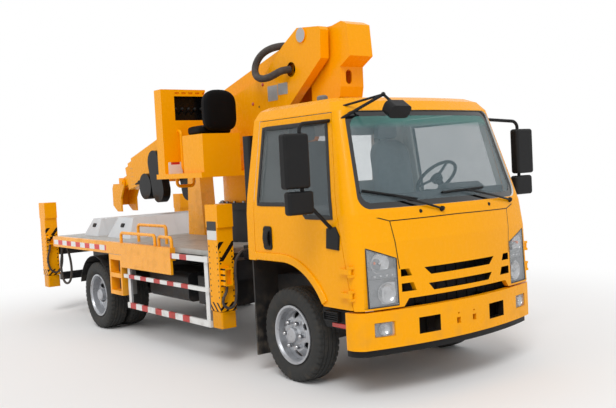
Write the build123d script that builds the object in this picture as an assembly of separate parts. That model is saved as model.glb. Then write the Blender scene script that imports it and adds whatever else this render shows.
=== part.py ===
"""Cherry picker truck: a forward-control cab chassis with a telescopic boom on a turntable,
jacks and a bucket.

Millimetres, +X forward, +Y to the left, +Z up.  The origin is on the ground under the middle of the truck.
"""
import os
from math import cos, radians, sin, sqrt, tan

from build123d import *

# overall
LENGTH = 6720.0
FRONT_X = LENGTH / 2
REAR_X = -LENGTH / 2
FRONT_OVERHANG = 1110.0
REAR_OVERHANG = 1795.0
WHEELBASE = LENGTH - FRONT_OVERHANG - REAR_OVERHANG
FRONT_AXLE_X = FRONT_X - FRONT_OVERHANG
REAR_AXLE_X = FRONT_AXLE_X - WHEELBASE
CAB_BACK_X = FRONT_X - 1620.0
FRONT_JACK_X = CAB_BACK_X - 450.0
SLEW_X = FRONT_JACK_X - 790.0
BODY_HALF_WIDTH = 1100.0
RUNNING_GAP = 6.0
SEAT_GAP = 0.3

# wheels and axles
TYRE_DIAMETER = 797.0
TYRE_WIDTH = 233.0
RIM_DIAMETER = 470.0
AXLE_Z = TYRE_DIAMETER / 2
FRONT_TRACK = 1680.0
REAR_TRACK = 1650.0
TWIN_SPACING = 270.0
DISC_THICKNESS = 12.0
HAND_HOLES = 6
HAND_HOLE_DIAMETER = 62.0
HAND_HOLE_CIRCLE = 330.0
STUD_COUNT = 6
STUD_CIRCLE = 222.25
STUD_HOLE_DIAMETER = 32.0
HUB_DIAMETER = 160.0
DRUM_DIAMETER = 380.0
HUB_REACH = 100.0
HUB_SOCKET = 40.0
KINGPIN_Y = 700.0

# chassis frame
FRAME_WIDTH = 760.0
RAIL_FLANGE = 65.0
RAIL_HEIGHT = 200.0
RAIL_WALL = 8.0
RAIL_TOP_Z = 790.0
RAIL_FRONT_X = FRONT_X - 310.0
CROSS_MEMBER_X = (FRONT_X - 460.0, CAB_BACK_X - 180.0, SLEW_X - 150.0, REAR_AXLE_X + 715.0,
                  REAR_AXLE_X - 785.0,
                  REAR_X + 110.0)
CAB_MOUNT_X = (CAB_BACK_X + 100.0, FRONT_X - 400.0)
UNDERRUN_Z = 530.0
UNDERRUN_HALF = 880.0
SHACKLE_Y = 300.0
SHACKLE_HOLE = 41.0
SPRING_WIDTH = 70.0
SPRING_LENGTH = 1200.0
SPRING_THICKNESS = 45.0

# cab
CAB_WALL = 45.0
CAB_BOTTOM_Z = 700.0
# columns: height, back set in, half width, front set back at the middle and at its edge, y of that edge,
# end of the side
CAB_LEVELS = (
    (CAB_BOTTOM_Z, 0.0, 1000.0, 22.0, 138.0, 925.0, 260.0),
    (1200.0, 0.0, 1000.0, 26.0, 155.0, 925.0, 275.0),
    (1420.0, 0.0, 998.0, 60.0, 188.0, 920.0, 310.0),
    (1560.0, 0.0, 984.0, 110.0, 232.0, 900.0, 350.0),
    (2225.0, 20.0, 880.0, 340.0, 425.0, 785.0, 520.0),
    (2300.0, 50.0, 835.0, 410.0, 490.0, 740.0, 580.0),
    (2335.0, 110.0, 765.0, 500.0, 570.0, 675.0, 660.0),
)
ARCH_RADIUS = 615.0
ARCH_TOP_Z = AXLE_Z + ARCH_RADIUS
CAB_FLOOR_Z = ARCH_TOP_Z + CAB_WALL
DOOR_REAR_X = CAB_BACK_X + 110.0
DOOR_BOTTOM_Z = CAB_BOTTOM_Z
DOOR_TOP_Z = 2215.0
DOOR_FRONT_LOW_X = FRONT_X - 210.0
DOOR_FRONT_TOP_X = FRONT_X - 502.0
HINGE_X = DOOR_FRONT_LOW_X
HINGE_Y = 1017.0
HINGE_LEVELS = (820.0, 1000.0)
HINGE_PIN = 16.0
WINDOW_SILL_Z = 1500.0
WINDOW_FRONT_SILL_Z = 1400.0
WINDOW_FRAME = 70.0
GLASS_THICKNESS = 6.0
GLASS_INSET = 16.0
SCREEN_BOTTOM_Z = 1455.0
SCREEN_TOP_Z = 2218.0
SCREEN_BOTTOM_HALF = 905.0
SCREEN_TOP_HALF = 815.0
SCREEN_CORNER = 90.0
PANEL_TOP_Z = 1390.0
PANEL_BOTTOM_Z = CAB_BOTTOM_Z
PANEL_DEPTH = 150.0
LAMP_INNER_Y = 650.0
LAMP_OUTER_Y = 960.0
BUMPER_TOP_Z = 685.0
BUMPER_BOTTOM_Z = 400.0
BUMPER_WALL = 55.0
LIP_BOTTOM_Z = 345.0
# columns: middle height, half width at the top, half width at the bottom, height
GRILLE_SLOTS = ((950.0, 402.0, 338.0, 60.0), (824.0, 366.0, 316.0, 58.0))
# columns: inner y at the top, inner y at the bottom, outer y, bottom, top
GRILLE_VENTS = ((545.0, 520.0, 622.0, 930.0, 985.0), (510.0, 485.0, 620.0, 812.0, 876.0))
LOWER_GRILLE = ((560.0, 758.0), (615.0, 690.0))
# columns: inner y, outer y, bottom, top
BUMPER_OPENINGS = ((285.0, 490.0, 475.0, 600.0), (70.0, 112.0, 500.0, 548.0), (80.0, 96.0, 575.0, 588.0))
FOG_LAMP = (702.0, 872.0, 492.0, 602.0)
FOG_LAMP_DEPTH = 30.0

# deck, boxes and guards
DECK_REAR_X = REAR_X + 475.0
DECK_FRONT_X = FRONT_JACK_X - 160.0
DECK_TOP_Z = 1062.0
DECK_THICKNESS = 50.0
EDGE_HEIGHT = 132.0
EDGE_WIDTH = 60.0
SKIRT_BOTTOM_Z = 790.0
SKIRT_REAR_X = REAR_AXLE_X + 805.0
SKIRT_FRONT_X = DECK_FRONT_X - 700.0
STEP_REAR_X = SKIRT_REAR_X - 330.0
STEP_FRONT_X = SKIRT_REAR_X
STEP_BOTTOM_Z = 470.0
GUARD_THICKNESS = 26.0
RAIL_TUBE = 34.0

# outriggers
JACK_WIDTH = 180.0
JACK_DEPTH = 165.0
JACK_WALL = 12.0
JACK_TOP_Z = 1500.0
JACK_TUBE_BOTTOM_Z = 520.0
JACK_ROD_DIAMETER = 96.0
FOOT_Z = 360.0
BEAM_HEIGHT = 150.0
BEAM_WIDTH = 82.0
BEAM_CLEARANCE = 6.0
BEAM_BOX_WALL = 10.0
BEAM_WALL = 10.0
BEAM_INNER_END = BODY_HALF_WIDTH - 400.0
BEAM_BOX_END = BODY_HALF_WIDTH - 175.0
BEAM_BOX_HALF = BEAM_WIDTH + 2 * BEAM_CLEARANCE + 1.5 * BEAM_BOX_WALL
BEAM_OFFSET = (BEAM_WIDTH + 2 * BEAM_CLEARANCE + BEAM_BOX_WALL) / 2
BEAM_BOTTOM_Z = RAIL_TOP_Z + BEAM_BOX_WALL + BEAM_CLEARANCE
REAR_JACK_X = REAR_X + BEAM_BOX_HALF

# slewing gear and turntable
PEDESTAL_RADIUS = 400.0
RING_RADIUS = 470.0
RING_BOTTOM_Z = 1400.0
RING_TOP_Z = 1470.0
SLEW_GAP = 0.5
COLUMN_RADIUS = 410.0
PLATE_Z = 1750.0
PLATE_THICKNESS = 60.0
WALL_INNER_Y = 165.0
WALL_OUTER_Y = 260.0

# boom
PIVOT_X = SLEW_X + 1190.0
PIVOT_Z = 3025.0
BOOM_SLOPE = 14.6
PIN_DIAMETER = 90.0
PIN_CLEARANCE = 0.08
BOOM_WIDTH = 270.0
BOOM_TOP = 85.0
BOOM_HEIGHT = 400.0
BOOM_WALL = 12.0
SECTION_STEP = 22.0
BASE_END = 4250.0
MIDDLE_END = 4420.0
INNER_END = 4560.0
LUFF_FOOT_X = SLEW_X + 550.0
LUFF_FOOT_Z = 2200.0
LUFF_EYE_ALONG = 2400.0
LUFF_EYE_BELOW = 400.0
BARREL_DIAMETER = 150.0
ROD_DIAMETER = 90.0

# tip head and bucket
HEAD_PIN_ALONG = 4680.0
HEAD_PIN_BELOW = 130.0
ROTATOR_X = PIVOT_X - 4670.0
BUCKET_LENGTH = 1100.0
BUCKET_WIDTH = 620.0
BUCKET_HEIGHT = 960.0
BUCKET_WALL = 25.0
BUCKET_FRONT_X = PIVOT_X - 2940.0
BUCKET_INNER_Y = 285.0
BUCKET_FLOOR_Z = 1760.0

# trim, inside of the cab and guards
FRONT_MIRROR = (FRONT_X - 120.0, -545.0, 2205.0)
FRONT_MIRROR_STAY = ((FRONT_X - 455.0, -858.0, 2145.0), (FRONT_X - 200.0, -605.0, 2325.0))
DUCT_X = CAB_BACK_X - 140.0
DUCT_DEPTH = 120.0
DUCT_Y = -920.0
DUCT_WIDTH = 140.0
DUCT_TOP_Z = 2100.0
STEERING_WHEEL = (FRONT_X - 760.0, 500.0, 1640.0)
STEERING_RADIUS = 200.0
FLAP_BOTTOM_Z = 160.0
REAR_ARCH_RADIUS = 475.0
GUARD_SHEET = 5.0
MEMBER_WIDTH = 80.0
PAD_LENGTH = 60.0
HOSE_POST_Y = BODY_HALF_WIDTH - 330.0
CAP_GROW = 18.0
CAP_BOTTOM_Z = 1290.0
GLAND_LENGTH = 40.0
REST_REAR_X = PIVOT_X - 2650.0
REST_FRONT_X = PIVOT_X - 2390.0
REST_HALF = 90.0
# columns: rear x, front x, distance from the middle, height above the deck
HANDRAILS = ((SLEW_X - 1300.0, SLEW_X - 460.0, BODY_HALF_WIDTH - 35.0, 110.0),
             (SLEW_X - 370.0, SLEW_X - 90.0, BODY_HALF_WIDTH - 35.0, 100.0),
             (SLEW_X - 1200.0, SLEW_X - 520.0, BODY_HALF_WIDTH - 200.0, 190.0))
# columns: rear x, front x, height
HATCHES = ((DECK_REAR_X + 285.0, DECK_REAR_X + 735.0, 210.0),
           (DECK_REAR_X + 1035.0, DECK_REAR_X + 1685.0, 240.0))
HATCH_HALF = 780.0
HATCH_TAPER = 25.0
# columns: bottom, top, rear x
GUARD_BOARDS = ((960.0, 1010.0, SKIRT_FRONT_X), (680.0, 720.0, SKIRT_REAR_X + 50.0),
                (350.0, 410.0, SKIRT_REAR_X + 110.0))
GUARD_FRONT_X = DECK_FRONT_X + 40.0
STEP_DEPTH = 170.0
PEDESTAL_WALL = 20.0
WALL_SHEET = 12.0
# side outline of a turntable wall from the slewing axis, from the front of its foot round to the back
WALL_OUTLINE = ((600.0, 1950.0), (915.0, 2374.0), (1461.0, 2777.0), (1475.0, 3035.0), (1448.0, 3066.0),
                (1119.0, 3102.0),
                (888.0, 2978.0), (510.0, 2714.0), (-130.0, 2562.0), (-850.0, 2380.0))
WALL_FRONT = 600.0
WALL_REAR = -850.0
HOSE_HOLE = (SLEW_X + 997.0, 2731.0)
CONSOLE_FLOOR = 50.0
CONSOLE_OUTER_Y = -980.0
PANEL_HEIGHT_Z = 2670.0
SEAT_BOX_Z = 2170.0
BASE_START = -120.0
CAVITY_START = 250.0
NOSE_TOP_Z = 3092.0
COVER_ALONG = 3400.0
DRUM_ALONG = COVER_ALONG + 330.0
EAR_INNER = 52.0
EAR_THICKNESS = 28.0
EAR_RADIUS = 75.0
EAR_FOOT = 110.0
LUFF_PIN = 70.0
MIDDLE_START = 500.0
MIDDLE_WALL = 10.0
INNER_START = 700.0
INNER_WALL = 8.0
HEAD_PIN = 70.0
HEAD_GAP = 9.0
HEAD_SHEET = 24.0
HEAD_TOP_Z = 1700.0
ROTATOR_POST = 60.0

# hose routes: x from the piece that carries the hose, then y, or the distance in from the body's side, and z
BOOM_HOSE_DIAMETER = 70.0
JACK_HOSE = 26.0
LOOP_HOSE = 30.0
BOOM_HOSE = [(-380, -135, 2985), (-380, -205, 2985), (-465, -270, 2975), (-570, -305, 2945),
             (-655, -325, 2885), (-680, -350, 2800), (-630, -375, 2720), (-530, -390, 2675),
             (-400, -395, 2668), (-290, -385, 2690), (-210, -352, 2724), (-193, -270, 2731)]
FRONT_HOSE = [(122, 55, 755), (122, 55, 712), (125, 15, 660), (130, -5, 605), (135, 40, 548),
              (138, 110, 560),
              (140, 140, 640), (140, 143, 760), (140, 138, 880), (140, 150, 985), (138, 200, 1045),
              (130, 250, 1065), (130, 300, 1065)]
REAR_HOSE = [(121, 38, 940), (121, 38, 880), (121, 2, 790), (121, -5, 690), (121, 30, 590), (123, 100, 545),
             (125, 165, 585), (127, 192, 680), (130, 197, 790), (130, 197, 900)]
REAR_LOOP = [(35, 100, 930), (35, 100, 880), (0, 100, 790), (-40, 100, 700), (-45, 100, 610),
             (-15, 100, 500),
             (75, 100, 435), (195, 100, 440), (295, 100, 510), (340, 100, 620), (315, 100, 760),
             (245, 100, 880), (211, 100, 950), (211, 100, 1012)]

PARTS = {}


def block(x0, x1, y0, y1, z0, z1):
    """Box between two corners."""
    return Pos((x0 + x1) / 2, (y0 + y1) / 2, (z0 + z1) / 2) * Box(abs(x1 - x0), abs(y1 - y0), abs(z1 - z0))


def plate_xz(points, y0, y1):
    """Outline of (x, z) points carried along Y."""
    face = make_face(Polyline(*[(x, y0, z) for x, z in points], close=True))
    return extrude(face, amount=y1 - y0, dir=(0, 1, 0))


def plate_yz(points, x0, x1):
    """Outline of (y, z) points carried along X."""
    face = make_face(Polyline(*[(x0, y, z) for y, z in points], close=True))
    return extrude(face, amount=x1 - x0, dir=(1, 0, 0))


def bar(start, end, diameter):
    """Round bar between two points."""
    a = Vector(*start)
    b = Vector(*end)
    base = (Align.CENTER, Align.CENTER, Align.MIN)
    return Plane(origin=a, z_dir=b - a) * Cylinder(diameter / 2, (b - a).length, align=base)


def bent_tube(points, diameter, radii):
    """Tube along straight runs joined by tangent arcs."""
    path = FilletPolyline(*points, radius=radii)
    start = Plane(origin=path @ 0, z_dir=path % 0)
    return sweep(start * Circle(diameter / 2), path=path)


def both_sides(shape):
    """A piece and its mirror image on the other side of the truck."""
    return [shape, mirror(shape, about=Plane.XZ)]


def node(name, *shapes):
    """Keep the shapes as one named piece."""
    solids = []
    for shape in shapes:
        items = shape if isinstance(shape, (list, tuple)) else [shape]
        for item in items:
            solids.extend(item.solids())
    PARTS[name] = solids[0] if len(solids) == 1 else Compound(children=solids)


# chassis frame: two channel rails with cross members
def chassis_frame():
    half = FRAME_WIDTH / 2
    low = RAIL_TOP_Z - RAIL_HEIGHT
    rail = block(REAR_X + 20, RAIL_FRONT_X, half - RAIL_FLANGE, half, low, RAIL_TOP_Z)
    groove = block(REAR_X, FRONT_X, half - 2 * RAIL_FLANGE, half - RAIL_WALL, low + RAIL_WALL,
                   RAIL_TOP_Z - RAIL_WALL)
    rail -= groove
    left, right = both_sides(rail)
    frame = left + right
    for x in CROSS_MEMBER_X:
        tie = bar((x, -half + RAIL_WALL / 2, low + RAIL_HEIGHT / 2),
                  (x, half - RAIL_WALL / 2, low + RAIL_HEIGHT / 2), 90)
        frame += tie
    for side in (1, -1):
        for x in CAB_MOUNT_X:
            frame += block(x - 40, x + 40, side * (half - RAIL_FLANGE), side * half, RAIL_TOP_Z,
                           CAB_FLOOR_Z - CAB_WALL)
        frame += block(REAR_X + 30, REAR_X + 90, side * (half - RAIL_FLANGE), side * half, UNDERRUN_Z, low)
    frame += block(REAR_X + 30, REAR_X + 90, -UNDERRUN_HALF, UNDERRUN_HALF, UNDERRUN_Z - 100, UNDERRUN_Z)
    for y in (-SHACKLE_Y, SHACKLE_Y):
        frame -= bar((REAR_X + 20, y, UNDERRUN_Z - 50), (REAR_X + 100, y, UNDERRUN_Z - 50), SHACKLE_HOLE)
    return frame


node("chassis_frame", chassis_frame())


# leaf springs: an arc band with a shackle plate at each end, under each rail
def leaf_spring(axle_x, seat_z):
    low = RAIL_TOP_Z - RAIL_HEIGHT
    half = SPRING_LENGTH / 2
    y = FRAME_WIDTH / 2 - RAIL_FLANGE / 2
    end_z = low - 55
    upper = ThreePointArc((axle_x - half, y, end_z), (axle_x, y, seat_z + SPRING_THICKNESS),
                          (axle_x + half, y, end_z))
    lower = ThreePointArc((axle_x - half, y, end_z - 18), (axle_x, y, seat_z),
                          (axle_x + half, y, end_z - 18))
    ends = [Line(upper @ 0, lower @ 0), Line(upper @ 1, lower @ 1)]
    band = extrude(make_face([upper, lower] + ends), amount=SPRING_WIDTH / 2, dir=(0, 1, 0), both=True)
    for x in (axle_x - half, axle_x + half):
        eye = bar((x, y - SPRING_WIDTH / 2, end_z - 9), (x, y + SPRING_WIDTH / 2, end_z - 9), 60)
        hanger = block(x - 35, x + 35, y - SPRING_WIDTH / 2, y + SPRING_WIDTH / 2, end_z - 9, low)
        band += [eye, hanger]
    return band


# front axle: dropped I-beam with an eye for each kingpin
def front_axle():
    z = AXLE_Z
    outline = [(-KINGPIN_Y, z - 45), (-560, z - 45), (-470, z - 95), (470, z - 95), (560, z - 45),
               (KINGPIN_Y, z - 45),
               (KINGPIN_Y, z + 35), (590, z + 35), (490, z - 15), (-490, z - 15), (-590,
                                                                                   z + 35), (-KINGPIN_Y,
                                                                                             z + 35)]
    beam = plate_yz(outline, FRONT_AXLE_X - 45, FRONT_AXLE_X + 45)
    for side in (-1, 1):
        beam += Pos(FRONT_AXLE_X, side * KINGPIN_Y, z - 5) * Cylinder(48, 80)
        beam -= Pos(FRONT_AXLE_X, side * KINGPIN_Y, z - 5) * Cylinder(22 + PIN_CLEARANCE, 200)
    left, right = both_sides(leaf_spring(FRONT_AXLE_X, z - 25))
    return beam + left + right


# rear axle: tube housing with a round differential case
def rear_axle():
    reach = REAR_TRACK / 2 - TWIN_SPACING / 2 - HUB_REACH + HUB_SOCKET - 5
    tube = bar((REAR_AXLE_X, -reach, AXLE_Z), (REAR_AXLE_X, reach, AXLE_Z), 130)
    case = Pos(REAR_AXLE_X, 0, AXLE_Z) * Rot(0, 90, 0) * Cylinder(175, 190)
    nose = bar((REAR_AXLE_X + 90, 0, AXLE_Z), (REAR_AXLE_X + 330, 0, AXLE_Z + 20), 130)
    housing = tube + fillet(case.edges(), 40) + nose
    left, right = both_sides(leaf_spring(REAR_AXLE_X, AXLE_Z + 58))
    return housing + left + right


node("front_axle", front_axle())
node("rear_axle", rear_axle())


# wheels: turned about the axle line, drawn with the wheel centre at the origin and the outside at +Y
def turned(points):
    """Outline of (radius, y) points turned about the Y axis."""
    face = make_face(Polyline(*[(r, y, 0) for r, y in points], close=True))
    return revolve(face, axis=Axis.Y)


def tyre():
    half = TYRE_WIDTH / 2
    outer = TYRE_DIAMETER / 2
    bead = RIM_DIAMETER / 2 + SEAT_GAP
    profile = [(bead, -half + 32), (bead + 24, -half + 29), (bead + 75, -half), (outer - 55, -half + 3),
               (outer - 12, -half + 22), (outer, -half + 48), (outer, half - 48), (outer - 12, half - 22),
               (outer - 55, half - 3), (bead + 75, half), (bead + 24, half - 29), (bead, half - 32)]
    return turned(profile)


def rim(disc_y, dish):
    """Rim barrel with a disc: the disc's bolting face at disc_y, dished by dish towards the barrel."""
    half = TYRE_WIDTH / 2 - 31
    edge = RIM_DIAMETER / 2
    barrel = turned([(edge, -half), (edge, half), (edge + 14, half + 4), (edge + 14, half + 14),
                     (edge - 4, half + 14),
                     (edge - 14, half - 6), (edge - 14, -half + 6), (edge - 4, -half - 14), (edge + 14,
                                                                                             -half - 14),
                     (edge + 14, -half - 4)])
    thick = DISC_THICKNESS
    bolt_r = STUD_CIRCLE / 2 + 36
    disc = turned([(HUB_DIAMETER / 2, disc_y), (bolt_r, disc_y), (edge - 40, disc_y - dish),
                   (edge - 14, disc_y - dish),
                   (edge - 14, disc_y - dish - thick), (edge - 44, disc_y - dish - thick), (bolt_r - 4,
                                                                                            disc_y - thick),
                   (HUB_DIAMETER / 2, disc_y - thick)])
    hole = Rot(90, 0, 0) * Cylinder(HAND_HOLE_DIAMETER / 2, 400)
    for k in range(HAND_HOLES):
        disc -= Rot(0, 360 * (k + 0.5) / HAND_HOLES, 0) * Pos(HAND_HOLE_CIRCLE / 2, 0, 0) * hole
    return barrel + disc


def stud_nuts(face_y, count):
    """Wheel nuts round the stud circle, standing on the disc."""
    nut = Rot(-90, 0, 0) * extrude(RegularPolygon(STUD_HOLE_DIAMETER / 2 + 2, 6), amount=26)
    return [Rot(0, 360 * k / count, 0) * Pos(STUD_CIRCLE / 2, face_y, 0) * nut for k in range(count)]


def front_wheel():
    disc_y = 62.0
    wheel = rim(disc_y, 46)
    hub = turned([(0, -20), (HUB_DIAMETER / 2, -20), (HUB_DIAMETER / 2, disc_y), (62, disc_y + 14),
                  (62, disc_y + 44),
                  (50, disc_y + 52), (0, disc_y + 52)])
    hub -= Rot(90, 0, 0) * Cylinder(32 + PIN_CLEARANCE, 2 * 36)
    wheel += hub
    for nut in stud_nuts(disc_y, STUD_COUNT):
        wheel += nut
    return wheel


def rear_wheels():
    """Outer and inner rim of a twin pair on one hub, with the twin's middle at the origin."""
    gap = TWIN_SPACING / 2
    outer_disc = -52.0
    outer = Pos(0, gap, 0) * rim(outer_disc, -52)
    inner = mirror(outer, about=Plane.XZ)
    face = gap + outer_disc
    hub = turned([(0, -gap - HUB_REACH), (DRUM_DIAMETER / 2, -gap - HUB_REACH),
                  (DRUM_DIAMETER / 2, -gap + 20), (HUB_DIAMETER / 2, -gap + 40),
                  (HUB_DIAMETER / 2, face + 10), (70, face + 30), (70, face + 130), (58, face + 142), (0,
                                                                                                       face + 142)])
    hub -= Pos(0, -gap - HUB_REACH, 0) * Rot(90, 0, 0) * Cylinder(65 + PIN_CLEARANCE, 2 * HUB_SOCKET)
    spacer = turned([(HUB_DIAMETER / 2, -face + DISC_THICKNESS), (150, -face + DISC_THICKNESS),
                     (150, face - DISC_THICKNESS), (HUB_DIAMETER / 2, face - DISC_THICKNESS)])
    wheel = outer + inner + hub + spacer
    for nut in stud_nuts(face, STUD_COUNT):
        wheel += nut
    return wheel


# knuckle: fork on the kingpin, stub axle, brake drum plate and steering arm
def knuckle():
    stub_y = FRONT_TRACK / 2 - KINGPIN_Y
    pin = Cylinder(22, 260)
    fork = Pos(0, 0, -5) * (block(-60, 60, 55, 95, -95, 95) + block(-40, 40, -45, 60, 46, 100)
                            + block(-40, 40, -45, 60, -100, -46))
    stub = bar((0, 90, 0), (0, stub_y + 12, 0), 64)
    drum = bar((0, 92, 0), (0, 104, 0), DRUM_DIAMETER)
    arm = block(-230, -30, -25, 5, -98, -60)
    return fork + Pos(0, 0, -5) * pin + stub + drum + arm


for side, tag in ((1, "left"), (-1, "right")):
    turn = Pos(FRONT_AXLE_X, side * FRONT_TRACK / 2, AXLE_Z) * Rot(0, 0, 0 if side > 0 else 180)
    node(f"front_tyre_{tag}", turn * tyre())
    node(f"front_rim_{tag}", turn * front_wheel())
    twin = Pos(REAR_AXLE_X, side * REAR_TRACK / 2, AXLE_Z) * Rot(0, 0, 0 if side > 0 else 180)
    node(f"rear_tyres_{tag}", [twin * Pos(0, TWIN_SPACING / 2, 0) * tyre(),
                               twin * Pos(0, -TWIN_SPACING / 2, 0) * tyre()])
    node(f"rear_rims_{tag}", twin * rear_wheels())
    swivel = Pos(FRONT_AXLE_X, side * KINGPIN_Y, AXLE_Z)
    upright = knuckle()
    node(f"knuckle_{tag}", swivel * (upright if side > 0 else mirror(upright, about=Plane.XZ)))


# engine and what hangs on the rails
def engine_block():
    body = block(CAB_BACK_X + 20, CAB_BACK_X + 880, -270, 270, 520, 900)
    body = fillet(body.edges().filter_by(Axis.X), 60)
    for x in (CAB_BACK_X + 210, CAB_BACK_X + 710):
        body += block(x - 40, x + 40, -345, 345, RAIL_TOP_Z, RAIL_TOP_Z + 25)
    return body


def chassis_tanks():
    half = FRAME_WIDTH / 2
    fuel = block(SLEW_X - 1060, SLEW_X - 170, -half - 480, -half, 470, 770)
    fuel = fillet(fuel.edges().filter_by(Axis.X), 60)
    battery = block(SLEW_X + 20, SLEW_X + 480, -half - 470, -half, 480, 760)
    starts = (SLEW_X - 1020, SLEW_X - 280)
    air = [bar((x, half + 160, 640), (x + 620, half + 160, 640), 240) for x in starts]
    straps = [block(x + 60, x + 110, half, half + 100, 590, 690) for x in starts]
    store = [a + s for a, s in zip(air, straps)]
    return [fuel, battery] + store


node("engine_block", engine_block())
node("chassis_tanks", chassis_tanks())


# cab: plan outlines lofted from level to level, then split into shell, front panel, doors and glass
def cab_level(z):
    """Plan sizes of the cab at a height, in a straight line between the two nearest levels."""
    z = max(z, CAB_LEVELS[0][0])
    for low, high in zip(CAB_LEVELS, CAB_LEVELS[1:]):
        if low[0] <= z <= high[0]:
            share = (z - low[0]) / (high[0] - low[0])
            return [a + share * (b - a) for a, b in zip(low, high)]
    return list(CAB_LEVELS[-1])


def cab_outline(z, inset):
    """Closed plan outline: straight back and sides, round corners and a bowed front."""
    _, back, half, front, edge_x, edge_y, side_x = cab_level(z)
    back = CAB_BACK_X + back + inset
    half -= inset
    front = FRONT_X - front - inset
    edge_x = FRONT_X - edge_x - inset
    edge_y -= 0.55 * inset
    side_x = FRONT_X - side_x
    mid = ((side_x + 2 * edge_x) / 3, (2 * half + edge_y) / 3)
    bow = ThreePointArc((edge_x, -edge_y, z), (front, 0, z), (edge_x, edge_y, z))
    left = ThreePointArc((edge_x, edge_y, z), (mid[0], mid[1], z), (side_x, half, z))
    right = ThreePointArc((side_x, -half, z), (mid[0], -mid[1], z), (edge_x, -edge_y, z))
    sides = [Line((side_x, half, z), (back, half, z)), Line((back, half, z), (back, -half, z)),
             Line((back, -half, z), (side_x, -half, z))]
    return make_face([bow, left] + sides + [right])


def cab_solid(inset, bottom, top):
    heights = [bottom] + [row[0] for row in CAB_LEVELS if bottom + 1 < row[0] < top - 1] + [top]
    return loft([cab_outline(z, inset) for z in heights], ruled=True)


def door_front_x(z):
    """The slanted front shut line of the door."""
    share = (z - DOOR_BOTTOM_Z) / (DOOR_TOP_Z - DOOR_BOTTOM_Z)
    return DOOR_FRONT_LOW_X + share * (DOOR_FRONT_TOP_X - DOOR_FRONT_LOW_X)


def door_face(gap, spare):
    """Door outline on the XZ plane: slanted front, wheel arch at the lower back, carried down by spare."""
    bottom = DOOR_BOTTOM_Z - spare
    radius = ARCH_RADIUS - spare
    low_x = FRONT_AXLE_X + sqrt(radius ** 2 - (bottom - AXLE_Z) ** 2)
    arch = (FRONT_AXLE_X, AXLE_Z + radius)
    middle = radians(55)
    arc = ThreePointArc((low_x, 0, bottom), (FRONT_AXLE_X + radius * cos(middle), 0,
                                             AXLE_Z + radius * sin(middle)),
                        (arch[0], 0, arch[1]))
    points = [arch, (DOOR_REAR_X, arch[1]), (DOOR_REAR_X, DOOR_TOP_Z), (DOOR_FRONT_TOP_X, DOOR_TOP_Z),
              (door_front_x(bottom), bottom), (low_x, bottom)]
    lines = [Line((x0, 0, z0), (x1, 0, z1)) for (x0, z0), (x1, z1) in zip(points, points[1:])]
    face = make_face([arc] + lines)
    return offset(face, amount=-gap) if gap else face


def window_face(gap):
    """Side window outline: the sill dips towards the front."""
    rear = DOOR_REAR_X + WINDOW_FRAME
    top = DOOR_TOP_Z - WINDOW_FRAME
    front_top = door_front_x(top) - WINDOW_FRAME
    front_low = door_front_x(WINDOW_FRONT_SILL_Z) - WINDOW_FRAME
    points = [(rear, WINDOW_SILL_Z), (rear, top), (front_top, top), (front_low, WINDOW_FRONT_SILL_Z),
              (front_low - 330, WINDOW_FRONT_SILL_Z), (front_low - 440, WINDOW_SILL_Z)]
    face = make_face(Polyline(*[(x, 0, z) for x, z in points], close=True))
    return offset(face, amount=-gap) if gap else face


def across(face, side):
    """Carry a face on the XZ plane outwards through one side of the cab."""
    return extrude(Pos(0, side * 600, 0) * face, amount=600, dir=(0, side, 0))


def screen_prism(gap):
    points = [(-SCREEN_BOTTOM_HALF + gap, SCREEN_BOTTOM_Z + gap),
              (SCREEN_BOTTOM_HALF - gap, SCREEN_BOTTOM_Z + gap),
              (SCREEN_TOP_HALF - gap, SCREEN_TOP_Z - gap), (-SCREEN_TOP_HALF + gap, SCREEN_TOP_Z - gap)]
    prism = plate_yz(points, FRONT_X - 660, FRONT_X)
    return fillet(prism.edges().filter_by(Axis.X), SCREEN_CORNER - gap)


def rear_window_prism(gap):
    return block(CAB_BACK_X - 50, CAB_BACK_X + 200, -480 + gap, 480 - gap, 1640 + gap, 2080 - gap)


def lamp_prism(side, gap):
    points = [(side * (LAMP_INNER_Y + gap), PANEL_BOTTOM_Z + 15 + gap),
              (side * (LAMP_INNER_Y + gap), 1075 - gap),
              (side * LAMP_OUTER_Y, 1190 - gap), (side * LAMP_OUTER_Y, PANEL_BOTTOM_Z + 15 + gap)]
    if side > 0:
        points.reverse()
    return plate_yz(points, DOOR_FRONT_LOW_X + 40, FRONT_X)


def hinge_ears(side, z):
    """Two ears with a pin on the front pillar, above and below the door's strap."""
    ears = bar((HINGE_X, side * HINGE_Y, z - 41), (HINGE_X, side * HINGE_Y, z + 41), HINGE_PIN)
    for middle in (z - 31, z + 31):
        ears += block(HINGE_X - 15, HINGE_X + 15, side * (HINGE_Y - 45), side * (HINGE_Y + 14),
                      middle - 10, middle + 10)
    return ears


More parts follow.
